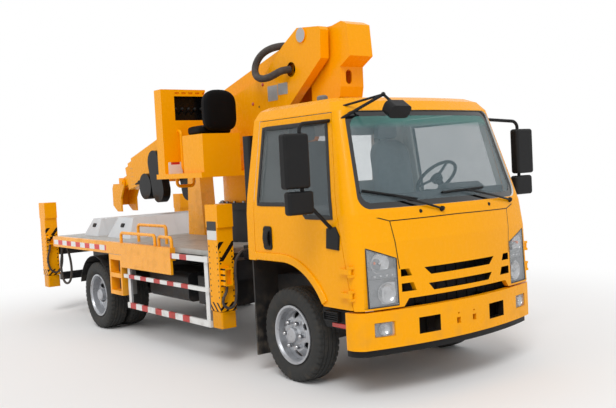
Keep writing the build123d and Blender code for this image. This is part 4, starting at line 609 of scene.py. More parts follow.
soft_black = clouded(ink(20, 20, 21), ink(36, 36, 37), (20.0, 3.0), (70.0, 3.0, 0.2, 0.5),
                     (300.0, 3.0, 0.0004))
seal = finish("window_seal_rubber", soft_black)
for tag, side in SIDES:
    run = along_outline(WINDOW, 0.05)
    reach = np.interp(run[:, 1], SIDE_HEIGHTS, SIDE_HALVES) + 0.001
    path = np.stack([run[:, 0], side * reach, run[:, 1]], axis=-1)
    strip = carry(rounded(0.034, 0.014, 0.006, 4), path, (0.0, side, 0.0), True)
    piece(f"window_seal_{tag}", [strip], seal, f"door_{tag}")


# Head, fog and tail lamps: a grey moulded tray with two bright reflector bowls, bulbs and an indicator.
# A clear cover in a rubber gasket closes each headlamp flush with the cab's skin.
# Tail lamps are ribbed lenses on the deck's rear edge.
FACE_LEVELS = np.array(((0.70, 3.338, 3.222, 0.925), (1.20, 3.334, 3.205, 0.925),
                        (1.42, 3.300, 3.172, 0.920), (1.56, 3.250, 3.128, 0.900),
                        (2.225, 3.020, 2.935, 0.785), (2.30, 2.950, 2.870, 0.740)))


def cab_face(y, z):
    """x of the cab's front skin: at each height an arc through its middle and its two edges."""
    middle, edge, span = [np.interp(z, FACE_LEVELS[:, 0], FACE_LEVELS[:, k]) for k in (1, 2, 3)]
    drop = middle - edge
    radius = (span ** 2 + drop ** 2) / (2 * drop)
    return middle - radius + np.sqrt(radius ** 2 - np.square(y))


LAMP_INNER, LAMP_OUTER, LAMP_LOW = 0.652, 0.905, 0.717
LAMP_TOPS = (1.073, 1.167)
LAMP_EDGE = ((LAMP_INNER, LAMP_LOW), (LAMP_INNER, LAMP_TOPS[0]),
             (LAMP_OUTER, LAMP_TOPS[1]), (LAMP_OUTER, LAMP_LOW))
LAMP_BACK = 3.2115
LAMP_DEPTH = 0.042
COVER_GAP = 0.002
PANE_CREASE, PANE_THICK = 60.0, 0.003
BOWLS = ((0.79, 1.045), (0.745, 0.815))
BOWL_RADIUS = 0.074
BOWL_DEPTH = 0.032
LAMP_SLOPE = 0.2
BAND_Z = 0.962
DOTS_Z = 0.95
DOTS = (0.69, 0.74, 0.79, 0.84)


def clear_film(point, x, y, z):
    """Clear plastic with a cloudy haze."""
    haze = point.grain(12.0, 4.0) * 0.1
    return {"Base Color": haze.blend(ink(225, 228, 230), ink(190, 192, 190)),
            "Alpha": haze + 0.1, "Roughness": haze + 0.02}


lamp_grey = clouded(ink(116, 119, 123), ink(88, 91, 95), (16.0, 3.0), (90.0, 3.0, 0.2, 0.3),
                    (260.0, 3.0, 0.0003))
tray_grey = finish("lamp_tray_grey", lamp_grey, Metallic=0.1)
bulb_orange = clouded(ink(236, 120, 20), ink(200, 84, 10), (40.0, 3.0))
orange = finish("orange_bulb", bulb_orange, Roughness=0.2, Coat_Weight=0.5)
clear = finish("clear_lamp_cover", clear_film, Coat_Weight=0.6)


def bowl(centre, axis, radius, depth):
    """Reflector: a paraboloid inside, along = -depth * (1 - share ** 2), with a lip and a plain back."""
    share = np.linspace(0.0, 1.0, 12)
    inside = np.stack([-depth * (1.0 - share ** 2), radius * share], axis=-1)
    rim = ((0.004, 1.03 * radius), (0.004, 1.08 * radius), (-depth, 1.08 * radius), (-depth - 0.004, 0.0))
    return lathe(np.vstack([inside, rim]), centre, axis)


BULB = ((-0.03, 0.0), (-0.03, 0.011), (-0.012, 0.012), (-0.004, 0.008), (-0.001, 0.0))
FOG = (3.2545, 0.787, 0.547)
FOG_TURN = 0.253
for tag, side in SIDES:
    edge = along_outline(LAMP_EDGE, 0.02)
    skin = cab_face(edge[:, 0], edge[:, 1])
    deep = np.maximum(skin - LAMP_DEPTH, LAMP_BACK)
    back, front = [np.stack([depth, side * edge[:, 0], edge[:, 1]], axis=-1)
                   for depth in (deep, skin - COVER_GAP)]
    points, faces = grid(np.stack([back - (0.004, 0, 0), back]))
    ring = np.arange(len(edge))
    plate = (points, faces + [ring.tolist(), (ring + len(edge)).tolist()])
    piece(f"lamp_tray_{tag}", [grid(np.stack([back, front])), plate], tray_grey, "chassis")
    gasket = carry(rounded(0.008, 0.006, 0.002, 3), front, (1.0, 0.0, 0.0), True)
    piece(f"lamp_gasket_{tag}", [gasket], seal, "chassis")
    forward = (1.0, side * LAMP_SLOPE, 0.0)
    bowls, bulbs = [], []
    for y, z in BOWLS:
        centre = (cab_face(y, z) - 0.012, side * y, z)
        bowls.append(bowl(centre, forward, BOWL_RADIUS, min(BOWL_DEPTH, centre[0] - LAMP_BACK - 0.002)))
        bulbs.append(lathe(BULB, centre, forward, 16))
    out = np.array((cos(FOG_TURN), side * sin(FOG_TURN), 0.0))
    across = np.cross(UPWARD, out)
    y, z = BOWLS[1]
    mirror = (cab_face(y, z) - 0.036, side * y, z)
    bowls.append(slab(rounded(0.186, 0.165, 0.02), mirror, across, UPWARD, 0.006, 0.002))
    run = np.linspace(0.66, 0.898, 12)
    line = np.stack([cab_face(run, BAND_Z) - 0.02, side * run, np.full(12, BAND_Z)], axis=-1)
    spots = [(cab_face(y, DOTS_Z) - 0.004, side * y, DOTS_Z) for y in DOTS]
    bulbs += [lathe(BULB, spot, forward, 12) for spot in spots]
    band = carry(rounded(0.075, 0.02, 0.006), line, (1.0, 0.0, 0.0))
    piece(f"lamp_band_{tag}", [band], tray_grey, "chassis")
    fog_face = np.array(FOG) * (1.0, side, 1.0)
    fog_tray = slab(rounded(0.166, 0.106, 0.02), fog_face - 0.05 * out, across, UPWARD, 0.02)
    bowls.append(bowl(fog_face - 0.006 * out, out, 0.044, 0.022))
    bulbs.append(lathe(BULB, fog_face - 0.004 * out, out, 16))
    piece(f"lamp_bowls_{tag}", bowls + bulbs, plating, "chassis")
    piece(f"fog_tray_{tag}", [fog_tray], tray_grey, "chassis")
    mark = lathe(BULB, (cab_face(0.835, 1.05) - 0.006, side * 0.832, 1.05), (1.0, side * 0.3, 0.0), 16)
    piece(f"indicator_bulbs_{tag}", [mark], orange, "chassis")
    wide = np.linspace(LAMP_INNER + COVER_GAP, LAMP_OUTER - COVER_GAP, 16)
    low = LAMP_LOW + COVER_GAP
    top = np.linspace(*LAMP_TOPS, 16) - COVER_GAP
    high = low + np.linspace(0.0, 1.0, 16)[:, None] * (top - low)
    wide = np.broadcast_to(wide, high.shape)
    sheet = np.stack([cab_face(wide, high) - 0.001, side * wide, high], axis=-1)
    pane = grid(sheet if side > 0 else sheet[:, ::-1], round_columns=False)
    piece(f"lamp_cover_{tag}", [pane], clear, "chassis", PANE_CREASE, PANE_THICK)
    lens = slab(rounded(0.164, 0.104, 0.02), fog_face - 0.004 * out, across, UPWARD, 0.003, 0.0008)
    piece(f"fog_lens_{tag}", [lens], clear, "chassis")


ORANGE_FROM, WHITE_TO = 0.93, 0.80


def tail_chambers(point, x, y, z):
    """Orange, red and white chambers outwards in, with upright ribs of 1 / 90 m."""
    reach = abs(y)
    tone = (reach > ORANGE_FROM).blend(ink(176, 22, 18), ink(232, 128, 24))
    tone = (reach < WHITE_TO).blend(tone, ink(226, 226, 222))
    ribs = (y * 90.0).part() - 0.5
    return {"Base Color": (point.grain(30.0) * 0.2).blend(tone, ink(90, 30, 20)),
            "Normal": abs(ribs).bump(0.002)}


tail_lens = finish("tail_lamp_lens", tail_chambers, Roughness=0.18, Coat_Weight=0.5)
middles = [(-2.8855, side * 0.875, 0.995) for _, side in SIDES]
lamps = [slab(rounded(0.266, 0.086, 0.012), middle, (0, -1, 0), UPWARD, 0.024, 0.004) for middle in middles]
tails = piece("tail_lamps", lamps, tail_lens, "chassis")
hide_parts("lamps")


# Outside mirrors, front-view mirror, bumper lip, intake duct and radiator screen: grained black mouldings.
# The mirror glass is set in the rear face of each head, and a grey marker lamp is screwed to the roof.
MIRROR_Y, MIRROR_HALF = 1.3, 0.095
MIRROR_PANES = ((1.845, 0.175), (1.53, 0.06))


def mirror_face(point, x, y, z):
    """Plastic, and bright glass where a face looks to the rear within one of the two panes."""
    facing = point.node("ShaderNodeTexCoord", out="Normal")
    rearward = point.node("ShaderNodeSeparateXYZ", None, {0: facing}, "X") < -0.97
    upper, lower = [abs(z - middle) < half for middle, half in MIRROR_PANES]
    glass = rearward.both(abs(abs(y) - MIRROR_Y) < MIRROR_HALF).both(upper.either(lower))
    made = plastic_grain(point, x, y, z)
    made["Base Color"] = glass.blend(made["Base Color"], ink(205, 210, 214))
    made["Roughness"] = made["Roughness"] * (1.0 - glass) + 0.02
    made["Metallic"] = glass
    return made


dress(black_plastic, "cab_trim")
SCREEN_Z = 0.705
screen = slab(rounded(1.56, 0.59, 0.03), (3.135, 0.0, SCREEN_Z), (0, 1, 0), UPWARD, 0.02, 0.004)
middles = [(3.15, 0.12 * k, SCREEN_Z) for k in range(-6, 7)]
ribs = [slab(rounded(0.02, 0.56, 0.004), middle, (0, 1, 0), UPWARD, 0.014, 0.003) for middle in middles]
piece("radiator_screen", [screen] + ribs, black_plastic, "chassis")
marker = slab(rounded(0.09, 0.06, 0.015), (2.47, -0.66, 2.334), (1, 0, 0), (0, 1, 0), 0.05, 0.012)
piece("roof_marker_lamp", [marker], tray_grey, "chassis")
dress(finish("mirror_head_and_glass", mirror_face, Specular_IOR_Level=0.22), "mirror_left", "mirror_right")

# Wipers and washer nozzles on the scuttle: pressed arms on a spindle, a jointed blade along the glass.
# Grained black all over, each arm held on its spindle by a capped nut.
WIPERS = (((-0.17, 1.417), (-0.39, 1.507), (-0.845, 1.597)),
          ((0.745, 1.427), (0.395, 1.555), (-0.115, 1.542)))
SPINDLE_NUT = ((-0.02, 0.0), (-0.02, 0.02), (0.012, 0.02), (0.024, 0.012), (0.026, 0.0))
NOZZLE = ((-0.012, 0.0), (-0.012, 0.016), (0.004, 0.014), (0.012, 0.006), (0.013, 0.0))
NOZZLE_Z = 1.415
span = np.linspace(0.0, 1.0, 24)
for k, (pivot, near, far) in enumerate(np.array(WIPERS)):
    y, z = (pivot + span[:, None] * (0.55 * near + 0.45 * far - pivot)).T
    arm = np.stack([cab_face(y, z) + 0.016 + 0.012 * np.sin(pi * span), y, z], axis=-1)
    shaft = carry(rounded(0.016, 0.012, 0.004, 4), arm, (1.0, 0.0, 0.5))
    y, z = (near + span[:, None] * (far - near)).T
    line = np.stack([cab_face(y, z) + 0.003, y, z], axis=-1)
    blade = carry(rounded(0.014, 0.026, 0.004, 4), line, (1.0, 0.0, 0.5))
    seat = (cab_face(*pivot) + 0.006, *pivot)
    nut = lathe(SPINDLE_NUT, seat, (1, 0, 0.5), 20)
    piece(f"wiper_{k}", [shaft, blade, nut], black_plastic, "chassis")
nozzles = [lathe(NOZZLE, (cab_face(y, NOZZLE_Z), y, NOZZLE_Z), (1, 0, 0.6), 16) for y in (-0.38, 0.415)]
piece("washer_nozzles", nozzles, black_plastic, "chassis")


# Inside the cab: a bench and a driver's seat in woven cloth over foam, a moulded dashboard, a steering wheel.
# The seats stand on grey boxes on the cab floor; sewn channels run from front to back.
def cushion(low, high, channels=0, crown=0.012, power=5.0):
    """Superellipsoid between two corners, its sides drawn in between the corners, dipping at sewn channels.

    x, y, z are signed powers of cosines and sines of two angles; a channel dips where |sin| of y is small.
    """
    rise = np.linspace(-pi / 2, pi / 2, 33)[:, None]
    turn = np.linspace(-pi, pi, 72, endpoint=False)[None, :]
    bend = 2.0 / power
    def lifted(value):
        return np.sign(value) * np.abs(value) ** bend
    x = lifted(np.cos(rise)) * lifted(np.cos(turn))
    y = lifted(np.cos(rise)) * lifted(np.sin(turn))
    z = lifted(np.sin(rise)) + 0 * turn
    x, y = x * (1.0 - 0.035 * (1.0 - y ** 2)), y * (1.0 - 0.035 * (1.0 - x ** 2))
    z = np.where(z > 0, z * (0.82 + 0.18 * (1.0 - x ** 2) * (1.0 - y ** 2)), z)
    points = np.stack([x, y, z], axis=-1)
    middle, half = (np.array(low) + high) / 2, (np.array(high) - low) / 2
    points = middle + points * half
    if channels:
        dip = np.exp(-np.square(np.sin(channels * pi * (y + 1.0) / 2) / 0.22))
        thin = int(np.argmin(half))
        face = np.where(points[..., thin] > middle[thin], 1.0, 0.0)
        points[..., thin] -= crown * dip * face * (np.abs(x) < 0.98)
    return grid(points)


SEAT_CLOTH = ink(172, 180, 184)


def woven(point, x, y, z):
    """Pale cloth in clouds, raised by three crossing sines of the weave."""
    weave = ((x * 900.0).wave() + (y * 900.0).wave() + (z * 900.0).wave()) * 0.3
    return {"Base Color": point.grain(18.0, 5.0).blend(SEAT_CLOTH, darker(SEAT_CLOTH, 0.7)),
            "Roughness": point.grain(40.0) * 0.1 + 0.8, "Normal": weave.bump(0.0012)}


cloth = finish("woven_seat_cloth", woven, Sheen_Weight=0.3)
moulded_grey = clouded(ink(84, 86, 88), ink(60, 62, 64), (14.0, 4.0), (60.0, 3.0, 0.15, 0.5),
                       (420.0, 2.0, 0.0005))
grey_plastic = finish("moulded_grey_plastic", moulded_grey)
FLOOR = 1.0585
BOX_HEIGHT = 0.262
SEAT_BACK_X = 1.955
BACKREST_LOW = 1.42
LEAN = 0.135
SOFT_CREASE = 60.0
STALK = ((0, 0), (0, 0.006), (0.07, 0.006), (0.07, 0))
SEATS = (("driver", 0.25, 0.75, 3, 0.5), ("bench", -0.75, 0.06, 5, -0.5))
for name, y0, y1, channels, middle in SEATS:
    seat = cushion((SEAT_BACK_X, y0, FLOOR + BOX_HEIGHT), (2.43, y1, FLOOR + 0.402), channels)
    pad = piece(f"seat_cushion_{name}", [seat], cloth, "chassis", SOFT_CREASE)
    points, faces = cushion((SEAT_BACK_X, y0 + 0.02, BACKREST_LOW), (2.075, y1 - 0.02, 2.03), channels)
    points[:, 0] += (points[:, 2] - BACKREST_LOW) * -LEAN + 0.04
    pad = piece(f"seat_back_{name}", [(points, faces)], cloth, "chassis", SOFT_CREASE)
    rest = cushion((1.90, middle - 0.13, 2.03), (1.985, middle + 0.13, 2.19))
    head = piece(f"head_rest_{name}", [rest], cloth, "chassis", SOFT_CREASE)
    foot = (2.19, (y0 + y1) / 2, FLOOR)
    base = slab(rounded(0.40, y1 - y0 - 0.08, 0.02), foot, (1, 0, 0), (0, 1, 0), BOX_HEIGHT, 0.006)
    stalks = [lathe(STALK, (1.93, middle + off, 1.97), UPWARD, 10) for off in (-0.07, 0.07)]
    piece(f"seat_box_{name}", [base] + stalks, grey_plastic, "chassis")
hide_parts("cab_interior")
DASH = ((2.86, 1.25), (3.06, 1.25), (3.06, 1.555), (2.97, 1.55), (2.90, 1.505), (2.875, 1.42))
POST = ((2.94, FLOOR), (3.06, FLOOR), (3.06, 1.26), (2.94, 1.26))
BINNACLE = ((2.80, 1.49), (2.92, 1.47), (2.97, 1.56), (2.90, 1.60), (2.82, 1.58))
DASH_PARTS = ((DASH, 0.86, 1.72, 0.008), (POST, 0.22, 0.44, 0.006), (BINNACLE, 0.72, 0.44, 0.01))
blocks = [slab(line, (0.0, y, 0.0), (1, 0, 0), UPWARD, wide, bevel) for line, y, wide, bevel in DASH_PARTS]
piece("dashboard", blocks, grey_plastic, "chassis")


def disc(radius, steps=16):
    """Circle outline."""
    turn = np.linspace(0.0, 2 * pi, steps, endpoint=False)
    return radius * np.stack([np.cos(turn), np.sin(turn)], axis=-1)


WHEEL_AT = np.array((2.60, 0.50, 1.64))
WHEEL_AXIS = np.array((-sin(radians(45)), 0.0, cos(radians(45))))
WHEEL_RADIUS = 0.20
HUB = ((-0.03, 0.0), (-0.03, 0.05), (0.012, 0.06), (0.022, 0.045), (0.026, 0.0))
LEFTWARD = np.array((0.0, 1.0, 0.0))
rim = lathe(disc(0.015)[:, ::-1] + (0.0, WHEEL_RADIUS), WHEEL_AT, WHEEL_AXIS, 64, True)
hub = lathe(HUB, WHEEL_AT, WHEEL_AXIS)
spokes = []
for a in radians(30), radians(150), radians(270):
    ahead = cos(a) * LEFTWARD + sin(a) * np.cross(WHEEL_AXIS, LEFTWARD)
    line = [WHEEL_AT + r * ahead for r in (0.04, 0.1, 0.16, 0.195)]
    spokes.append(carry(rounded(0.03, 0.012, 0.004, 4), line, WHEEL_AXIS))
stem = carry(disc(0.03), [WHEEL_AT - d * WHEEL_AXIS for d in (0.02, 0.12, 0.22, 0.32)], LEFTWARD)
piece("steering_wheel", [rim, hub, stem] + spokes, black_plastic, "chassis")


# Mudguards and flaps: bent sheet on cross tubes over the rear wheels, rubber flaps behind the front ones.
# Black plastic and rubber, splashed with road dirt.
def splashed(point, x, y, z):
    """Black plastic under clouds of mud, which thin out upwards."""
    mud = point.grain(13.0, 7.0).rise(0.4, 0.75) * (1.1 - z.rise(0.1, 0.9))
    return {"Base Color": (mud * 0.5).blend(BLACK_PLASTIC, ROAD_DUST),
            "Roughness": mud * 0.3 + point.grain(50.0) * 0.1 + 0.5,
            "Normal": point.grain(180.0, 4.0).bump(0.0008)}


dress(finish("splashed_guard_plastic", splashed), "mudguards")

# Deck: chequered aluminium sheet inside yellow edge beams, skirts, handrails and a boom rest, all bolted on.
# Red and white conspicuity tape runs along both edges behind the steps.
PLANT_YELLOW = ink(252, 168, 2)
TAPE_RED = ink(214, 12, 16)
TAPE_WHITE = ink(226, 226, 224)
TAPE_CELL = 0.30
TAPE_X, TAPE_HALF = -2.01, 0.85
TAPE_Z, TAPE_HALF_HEIGHT = 0.99, 0.03
DECK_EDGE = 1.0995
SHEET_HALF, SHEET_LOW, SHEET_HIGH = 1.0405, 1.0115, 1.0625
LUGS_PER_METRE = 28.0
LUG_HALF_WIDTH, LUG_HALF_LENGTH = 0.16, 0.38


def deck_colours(point, x, y, z):
    """Sheet between the beams, with lugs along both diagonals; paint, and tape on the outer edge."""
    reach = abs(y)
    plate = (reach < SHEET_HALF).both(z > SHEET_LOW).both(z < SHEET_HIGH)
    tape = (reach > DECK_EDGE).both(abs(z - TAPE_Z) < TAPE_HALF_HEIGHT).both(abs(x - TAPE_X) < TAPE_HALF)
    red = (x / TAPE_CELL).part() < 0.5
    paint = point.grain(1.6).blend(PLANT_YELLOW, darker(PLANT_YELLOW, PAINT_SHADE))
    sheet = point.grain(6.0, 5.0).blend(ink(190, 189, 184), ink(156, 155, 150))
    tone = tape.blend(plate.blend(paint, sheet), red.blend(TAPE_WHITE, TAPE_RED))
    slope = abs(((x + y) * LUGS_PER_METRE).part() - 0.5)
    other = abs(((x - y) * LUGS_PER_METRE).part() - 0.5)
    rising = (slope < LUG_HALF_WIDTH).both(other < LUG_HALF_LENGTH)
    falling = (other < LUG_HALF_WIDTH).both(slope < LUG_HALF_LENGTH)
    tread = rising.either(falling) * plate
    dust = point.grain(8.0, 6.0).rise(0.45, 0.8)
    return {"Base Color": (dust * 0.25).blend(tone, ROAD_DUST),
            "Roughness": dust * 0.3 + plate * 0.15 + 0.26,
            "Metallic": plate * 0.3, "Normal": (tread + point.grain(300.0) * 0.06).bump(0.002)}


dress(finish("deck_sheet_paint_and_tape", deck_colours), "deck_body")


def hatch_grey(point, x, y, z):
    """Pale grey moulding with a raised rib every 0.26 m across."""
    rib = abs((y / 0.26).part() - 0.5) < 0.03
    return {"Base Color": point.grain(5.0, 5.0).blend(ink(214, 216, 218), ink(192, 195, 198)),
            "Roughness": point.grain(50.0) * 0.15 + 0.42,
            "Normal": (rib + point.grain(400.0) * 0.1).bump(0.003)}


dress(finish("hatch_moulding_grey", hatch_grey), "deck_boxes")
HATCHES = ((-2.60, -2.15, 0.21), (-1.85, -1.20, 0.24))
HATCH_HALF, HATCH_FOOT = 0.78, 1.062
for k, (x0, x1, height) in enumerate(HATCHES):
    for tag, side in SIDES:
        seat = ((x0 + x1) / 2, side * (HATCH_HALF - 0.30 * height), HATCH_FOOT + 0.6 * height)
        latch = slab(rounded(0.09, 0.05, 0.01), seat, (-side, 0, 0), (0, side * -0.4, 0.9), 0.016, 0.004)
        piece(f"hatch_latch_{k}_{tag}", [latch], black_plastic, "chassis")

# Side guards: white extruded boards with red blocks on grey posts, and yellow step boxes with a grey top.
# Bolted to the deck's edge so that nobody falls under the truck.
BLOCKS = (-0.581, -0.295, 0.025, 0.326, 0.624)
BLOCK_HALF = 0.071
BOARD_BACK, BOARD_REAR = 1.0735, -0.72
STEP_FRONT, STEP_TOP, STEP_INSIDE = -0.755, 0.925, 1.0


def guard_colours(point, x, y, z):
    """White boards with a red block after each start, grey posts, yellow steps with a grey top and inside."""
    reach = abs(y)
    board = (reach > BOARD_BACK).both(x > BOARD_REAR)
    red = abs(x - BLOCKS[0] - BLOCK_HALF) < BLOCK_HALF
    for start in BLOCKS[1:]:
        red = red.either(abs(x - start - BLOCK_HALF) < BLOCK_HALF)
    tone = board.blend(ink(150, 152, 154), red.blend(ink(224, 224, 222), ink(186, 40, 36)))
    step = x < STEP_FRONT
    tone = step.blend(tone, PLANT_YELLOW)
    tone = step.both((z > STEP_TOP).either(reach < STEP_INSIDE)).blend(tone, ink(120, 120, 118))
    dust = point.grain(9.0, 6.0).rise(0.4, 0.8) * (1.1 - z.rise(0.3, 1.1))
    return {"Base Color": (dust * 0.35).blend(tone, ROAD_DUST), "Roughness": dust * 0.35 + 0.3,
            "Normal": point.grain(260.0, 3.0).bump(0.0004)}


dress(finish("guard_boards_and_steps", guard_colours, Metallic=0.1), "side_guards")


# Outriggers: yellow hollow beams that slide in the cross boxes, each with an upright leg and a jack in it.
# Black dots run down the legs' edges, with slanted black bands at the foot; the jacks are a deeper yellow.
LEG_X = {"front": 1.29, "rear": -3.251}
LEG_Y = 1.0175
LEG_INSIDE, LEG_OUTSIDE, LEG_FRONT = 0.934, 1.0985, 0.0885
DOT_STEP, DOT_RADIUS = 0.052, 0.0085
DOTS_ON_SIDE, DOTS_ON_FRONT = 0.068, 0.062
DOTS_MIDDLE, DOTS_HALF = 0.89, 0.26
FOOT_TOP = 0.60
BAND_MIDDLE, BAND_HALF = 1.07, 0.09
MARK_BLACK = ink(24, 22, 20)


def leg_marks(leg_x):
    """Marks of one leg: dots where off ** 2 + up ** 2 is small, and slanted bands by parts of a step."""
    def marks(point, x, y, z):
        reach = abs(y)
        front = abs(x - leg_x)
        up = ((z / DOT_STEP).part() - 0.5) * DOT_STEP
        side_off = abs(front - DOTS_ON_SIDE)
        front_off = abs(abs(reach - LEG_Y) - DOTS_ON_FRONT)
        side_dot = (side_off * side_off + up * up < DOT_RADIUS ** 2).both(reach > LEG_OUTSIDE)
        front_dot = (front_off * front_off + up * up < DOT_RADIUS ** 2).both(front > LEG_FRONT)
        dots = side_dot.either(front_dot).both(abs(z - DOTS_MIDDLE) < DOTS_HALF)
        low = (((x + reach + z) / 0.075).part() < 0.42).both(z < FOOT_TOP)
        slant = ((reach * 1.2 + z) / 0.16).part() < 0.36
        band = slant.both(abs(z - BAND_MIDDLE) < BAND_HALF).both(front > LEG_FRONT)
        return [(dots.either(low).either(band).both(reach > LEG_INSIDE), MARK_BLACK)]
    return marks


plant_gloss = {"Coat_Weight": 0.06, "Coat_Roughness": 0.1, "Specular_IOR_Level": 0.12}
foot_coat = finish("jack_foot_paint", gloss_coat(darker(PLANT_YELLOW, 0.8)), **plant_gloss)
for end, leg_x in LEG_X.items():
    paint = finish(f"outrigger_{end}_paint", gloss_coat(PLANT_YELLOW, leg_marks(leg_x)), **plant_gloss)
    for tag, _ in SIDES:
        dress(paint, f"beam_{end}_{tag}")
        dress(foot_coat, f"jack_{end}_{tag}")
LEG_PLATE_Z = 1.262


def two_tone(point, x, y, z):
    """White below the plate's middle, black above it."""
    return {"Base Color": (z > LEG_PLATE_Z).blend(ink(214, 214, 210), ink(30, 30, 30)),
            "Roughness": point.grain(80.0) * 0.1 + 0.4}


blank_plate = finish("blank_two_tone_plate", two_tone)
for tag, side in SIDES:
    middle = (1.285, side * 1.0995, LEG_PLATE_Z)
    plate = slab(rounded(0.165, 0.17, 0.008), middle, (-side, 0, 0), UPWARD, 0.003, 0.0008)
    piece(f"leg_plate_{tag}", [plate], blank_plate, f"beam_front_{tag}")


# Turntable: welded drum, floor plate and two box walls that carry the boom pin, bolted to the slewing ring.
# Gloss orange-yellow paint; blank grey plates and small reflectors are riveted to the walls.
plant_paint = finish("plant_gloss_yellow", gloss_coat(PLANT_YELLOW), **plant_gloss)
WALL_Y = 0.26
HOSE_HOLE_SHADE = (1.497, 2.731, 0.0703)
BROWN_SPOT = (0.919, 2.428, 0.012)
BOOM_PIN = (1.69, 3.025, 0.0672)


def round_mark(x, z, middle_x, middle_z, radius):
    """1 where the squared distance from the middle is within the squared radius."""
    off, up = x - middle_x, z - middle_z
    return off * off + up * up < radius ** 2


def wall_marks(point, x, y, z):
    """Painted shade: dark in the hose hole inside the wall; also a brown spot on the right wall, bare steel
    on the pin's ends.
    """
    hole = round_mark(x, z, *HOSE_HOLE_SHADE).both(abs(y) < WALL_Y - 0.0005)
    spot = round_mark(x, z, *BROWN_SPOT).both(y < 0.01 - WALL_Y)
    pin = round_mark(x, z, *BOOM_PIN).both(abs(y) > WALL_Y + 0.0005)
    # the hose hole's dark disc is painted shade
    return [(hole, SHUT_LINE_AND_SHADE), (spot, ink(112, 70, 30)), (pin, ink(176, 176, 178))]


dress(finish("turntable_paint_and_hole_shade", gloss_coat(PLANT_YELLOW, wall_marks), **plant_gloss), "turntable")
plate_grey = clouded(ink(176, 178, 178), ink(140, 142, 142), (12.0, 4.0), (60.0, 4.0, 0.2, 0.35))
plate_alu = finish("blank_plate_aluminium", plate_grey, Metallic=0.5)
WALL_PLATES = ((1.087, 1.256, 2.465, 2.614), (1.265, 1.426, 2.51, 2.62))
plates = []
for x0, x1, z0, z1 in WALL_PLATES:
    middle = ((x0 + x1) / 2, 0.0005 - WALL_Y, (z0 + z1) / 2)
    plates.append(slab(rounded(x1 - x0, z1 - z0, 0.01), middle, (1, 0, 0), UPWARD, 0.003, 0.0008))
piece("wall_plates", plates, plate_alu, "turntable")
DOME = ((0.0, 0.0), (0.0, 0.018), (0.004, 0.017), (0.008, 0.01), (0.009, 0.0))
eyes = [lathe(DOME, (x, -WALL_Y, z), (0, -1, 0), 20) for x, z in ((1.004, 2.641), (0.81, 2.466))]
piece("wall_reflectors", eyes, red_reflector, "turntable")
BOLT = ((0.0, 0.0), (0.0, 0.017), (0.016, 0.017), (0.019, 0.014), (0.0195, 0.0))
RING_X, RING_Z, BOLT_CIRCLE = 0.5, 1.469, 0.44
around = radians(15.0) * np.arange(24)
spots = [(RING_X + BOLT_CIRCLE * cos(a), BOLT_CIRCLE * sin(a), RING_Z) for a in around]
bolts = [lathe(BOLT, spot, UPWARD, 6) for spot in spots]
ground_steel = clouded(ink(170, 170, 172), ink(110, 108, 106), (9.0, 5.0), (45.0, 5.0, 0.25, 0.2))
steel = finish("ground_steel", ground_steel, Metallic=1.0)
piece("ring_bolts", bolts, steel, "chassis", 25.0)


# Operator's station: a folded sheet panel with a lever bay and grab rails, levers with knobs, a seat box.
# Painted yellow, with black painted shade in the lever bay, and a black seat pad and backrest in coated cloth
# over foam.
BAY_MIDDLE = (0.12, -0.6525, 2.475)
BAY_HALF = (0.0785, 0.179, 0.127)


def station_bay_shade(point, x, y, z):
    """Painted shade: black over the lever bay."""
    along, across, up = [abs(place - BAY_MIDDLE[k]) < BAY_HALF[k] for k, place in enumerate((x, y, z))]
    # painted shade in black over the lever bay
    return [(along.both(across).both(up), ink(18, 18, 19))]


dress(finish("station_paint_and_bay_shade", gloss_coat(PLANT_YELLOW, station_bay_shade), **plant_gloss), "console")
turn = np.linspace(-pi / 2, pi / 2, 12)
KNOB = 0.019 * np.stack([np.sin(turn), np.cos(turn)], axis=-1)
knobs = [lathe(KNOB, (0.165, -0.80 + 0.075 * k, 2.47), (0.08, 0.0, 0.05), 20) for k in range(5)]
piece("lever_knobs", knobs, black_plastic, "turntable")
SIGN_Y = -0.86
sign = slab(rounded(0.16, 0.165, 0.008), (0.2, SIGN_Y, 1.838), (0, 1, 0), UPWARD, 0.003, 0.0008)


def sign_white(point, x, y, z):
    """White plate with a red tab at the top."""
    tab = (z > 1.895).both(abs(y - SIGN_Y) < 0.05)
    return {"Base Color": tab.blend(ink(222, 222, 218), ink(190, 36, 30)),
            "Roughness": point.grain(70.0) * 0.1 + 0.4}


piece("station_plate", [sign], finish("blank_white_plate", sign_white), "turntable")
coated = clouded(ink(6, 6, 7), ink(14, 14, 15), (10.0, 5.0), (30.0, 4.0, 0.15, 0.45), (330.0, 3.0, 0.0008))
leathercloth = finish("black_coated_cloth", coated, Specular_IOR_Level=0.08)
PAD_RIGHT, PAD_LEFT, PAD_BACK = -0.878, -0.502, 0.80
seat = cushion((0.482, PAD_RIGHT, 2.171), (PAD_BACK, PAD_LEFT, 2.27), 2)
pad = piece("operator_cushion", [seat], leathercloth, "turntable", SOFT_CREASE)
upright = cushion((PAD_BACK, PAD_RIGHT, 2.2), (0.903, PAD_LEFT, 2.603), power=4.0)
rest = piece("operator_backrest", [upright], leathercloth, "turntable", SOFT_CREASE)
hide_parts("operator_seat")


# Boom: three welded box sections that slide in one another on pads, with reel covers and a pipe on one side.
# Gloss yellow outside, bare scraped paint along the inner sections, black moulded covers.
def scraped(point, x, y, z):
    """Gloss paint, paler and rougher in streaks of a cloud drawn out along the boom."""
    made = gloss_coat(PLANT_YELLOW)(point, x, y, z)
    drawn = point.node("ShaderNodeMapping", None, {0: point, "Scale": (1.0, 14.0, 14.0)})
    worn = drawn.grain(4.0, 5.0).rise(0.55, 0.75)
    made["Base Color"] = (worn * 0.5).blend(made["Base Color"], ink(150, 140, 120))
    made["Roughness"] = made["Roughness"] + worn * 0.15
    return made


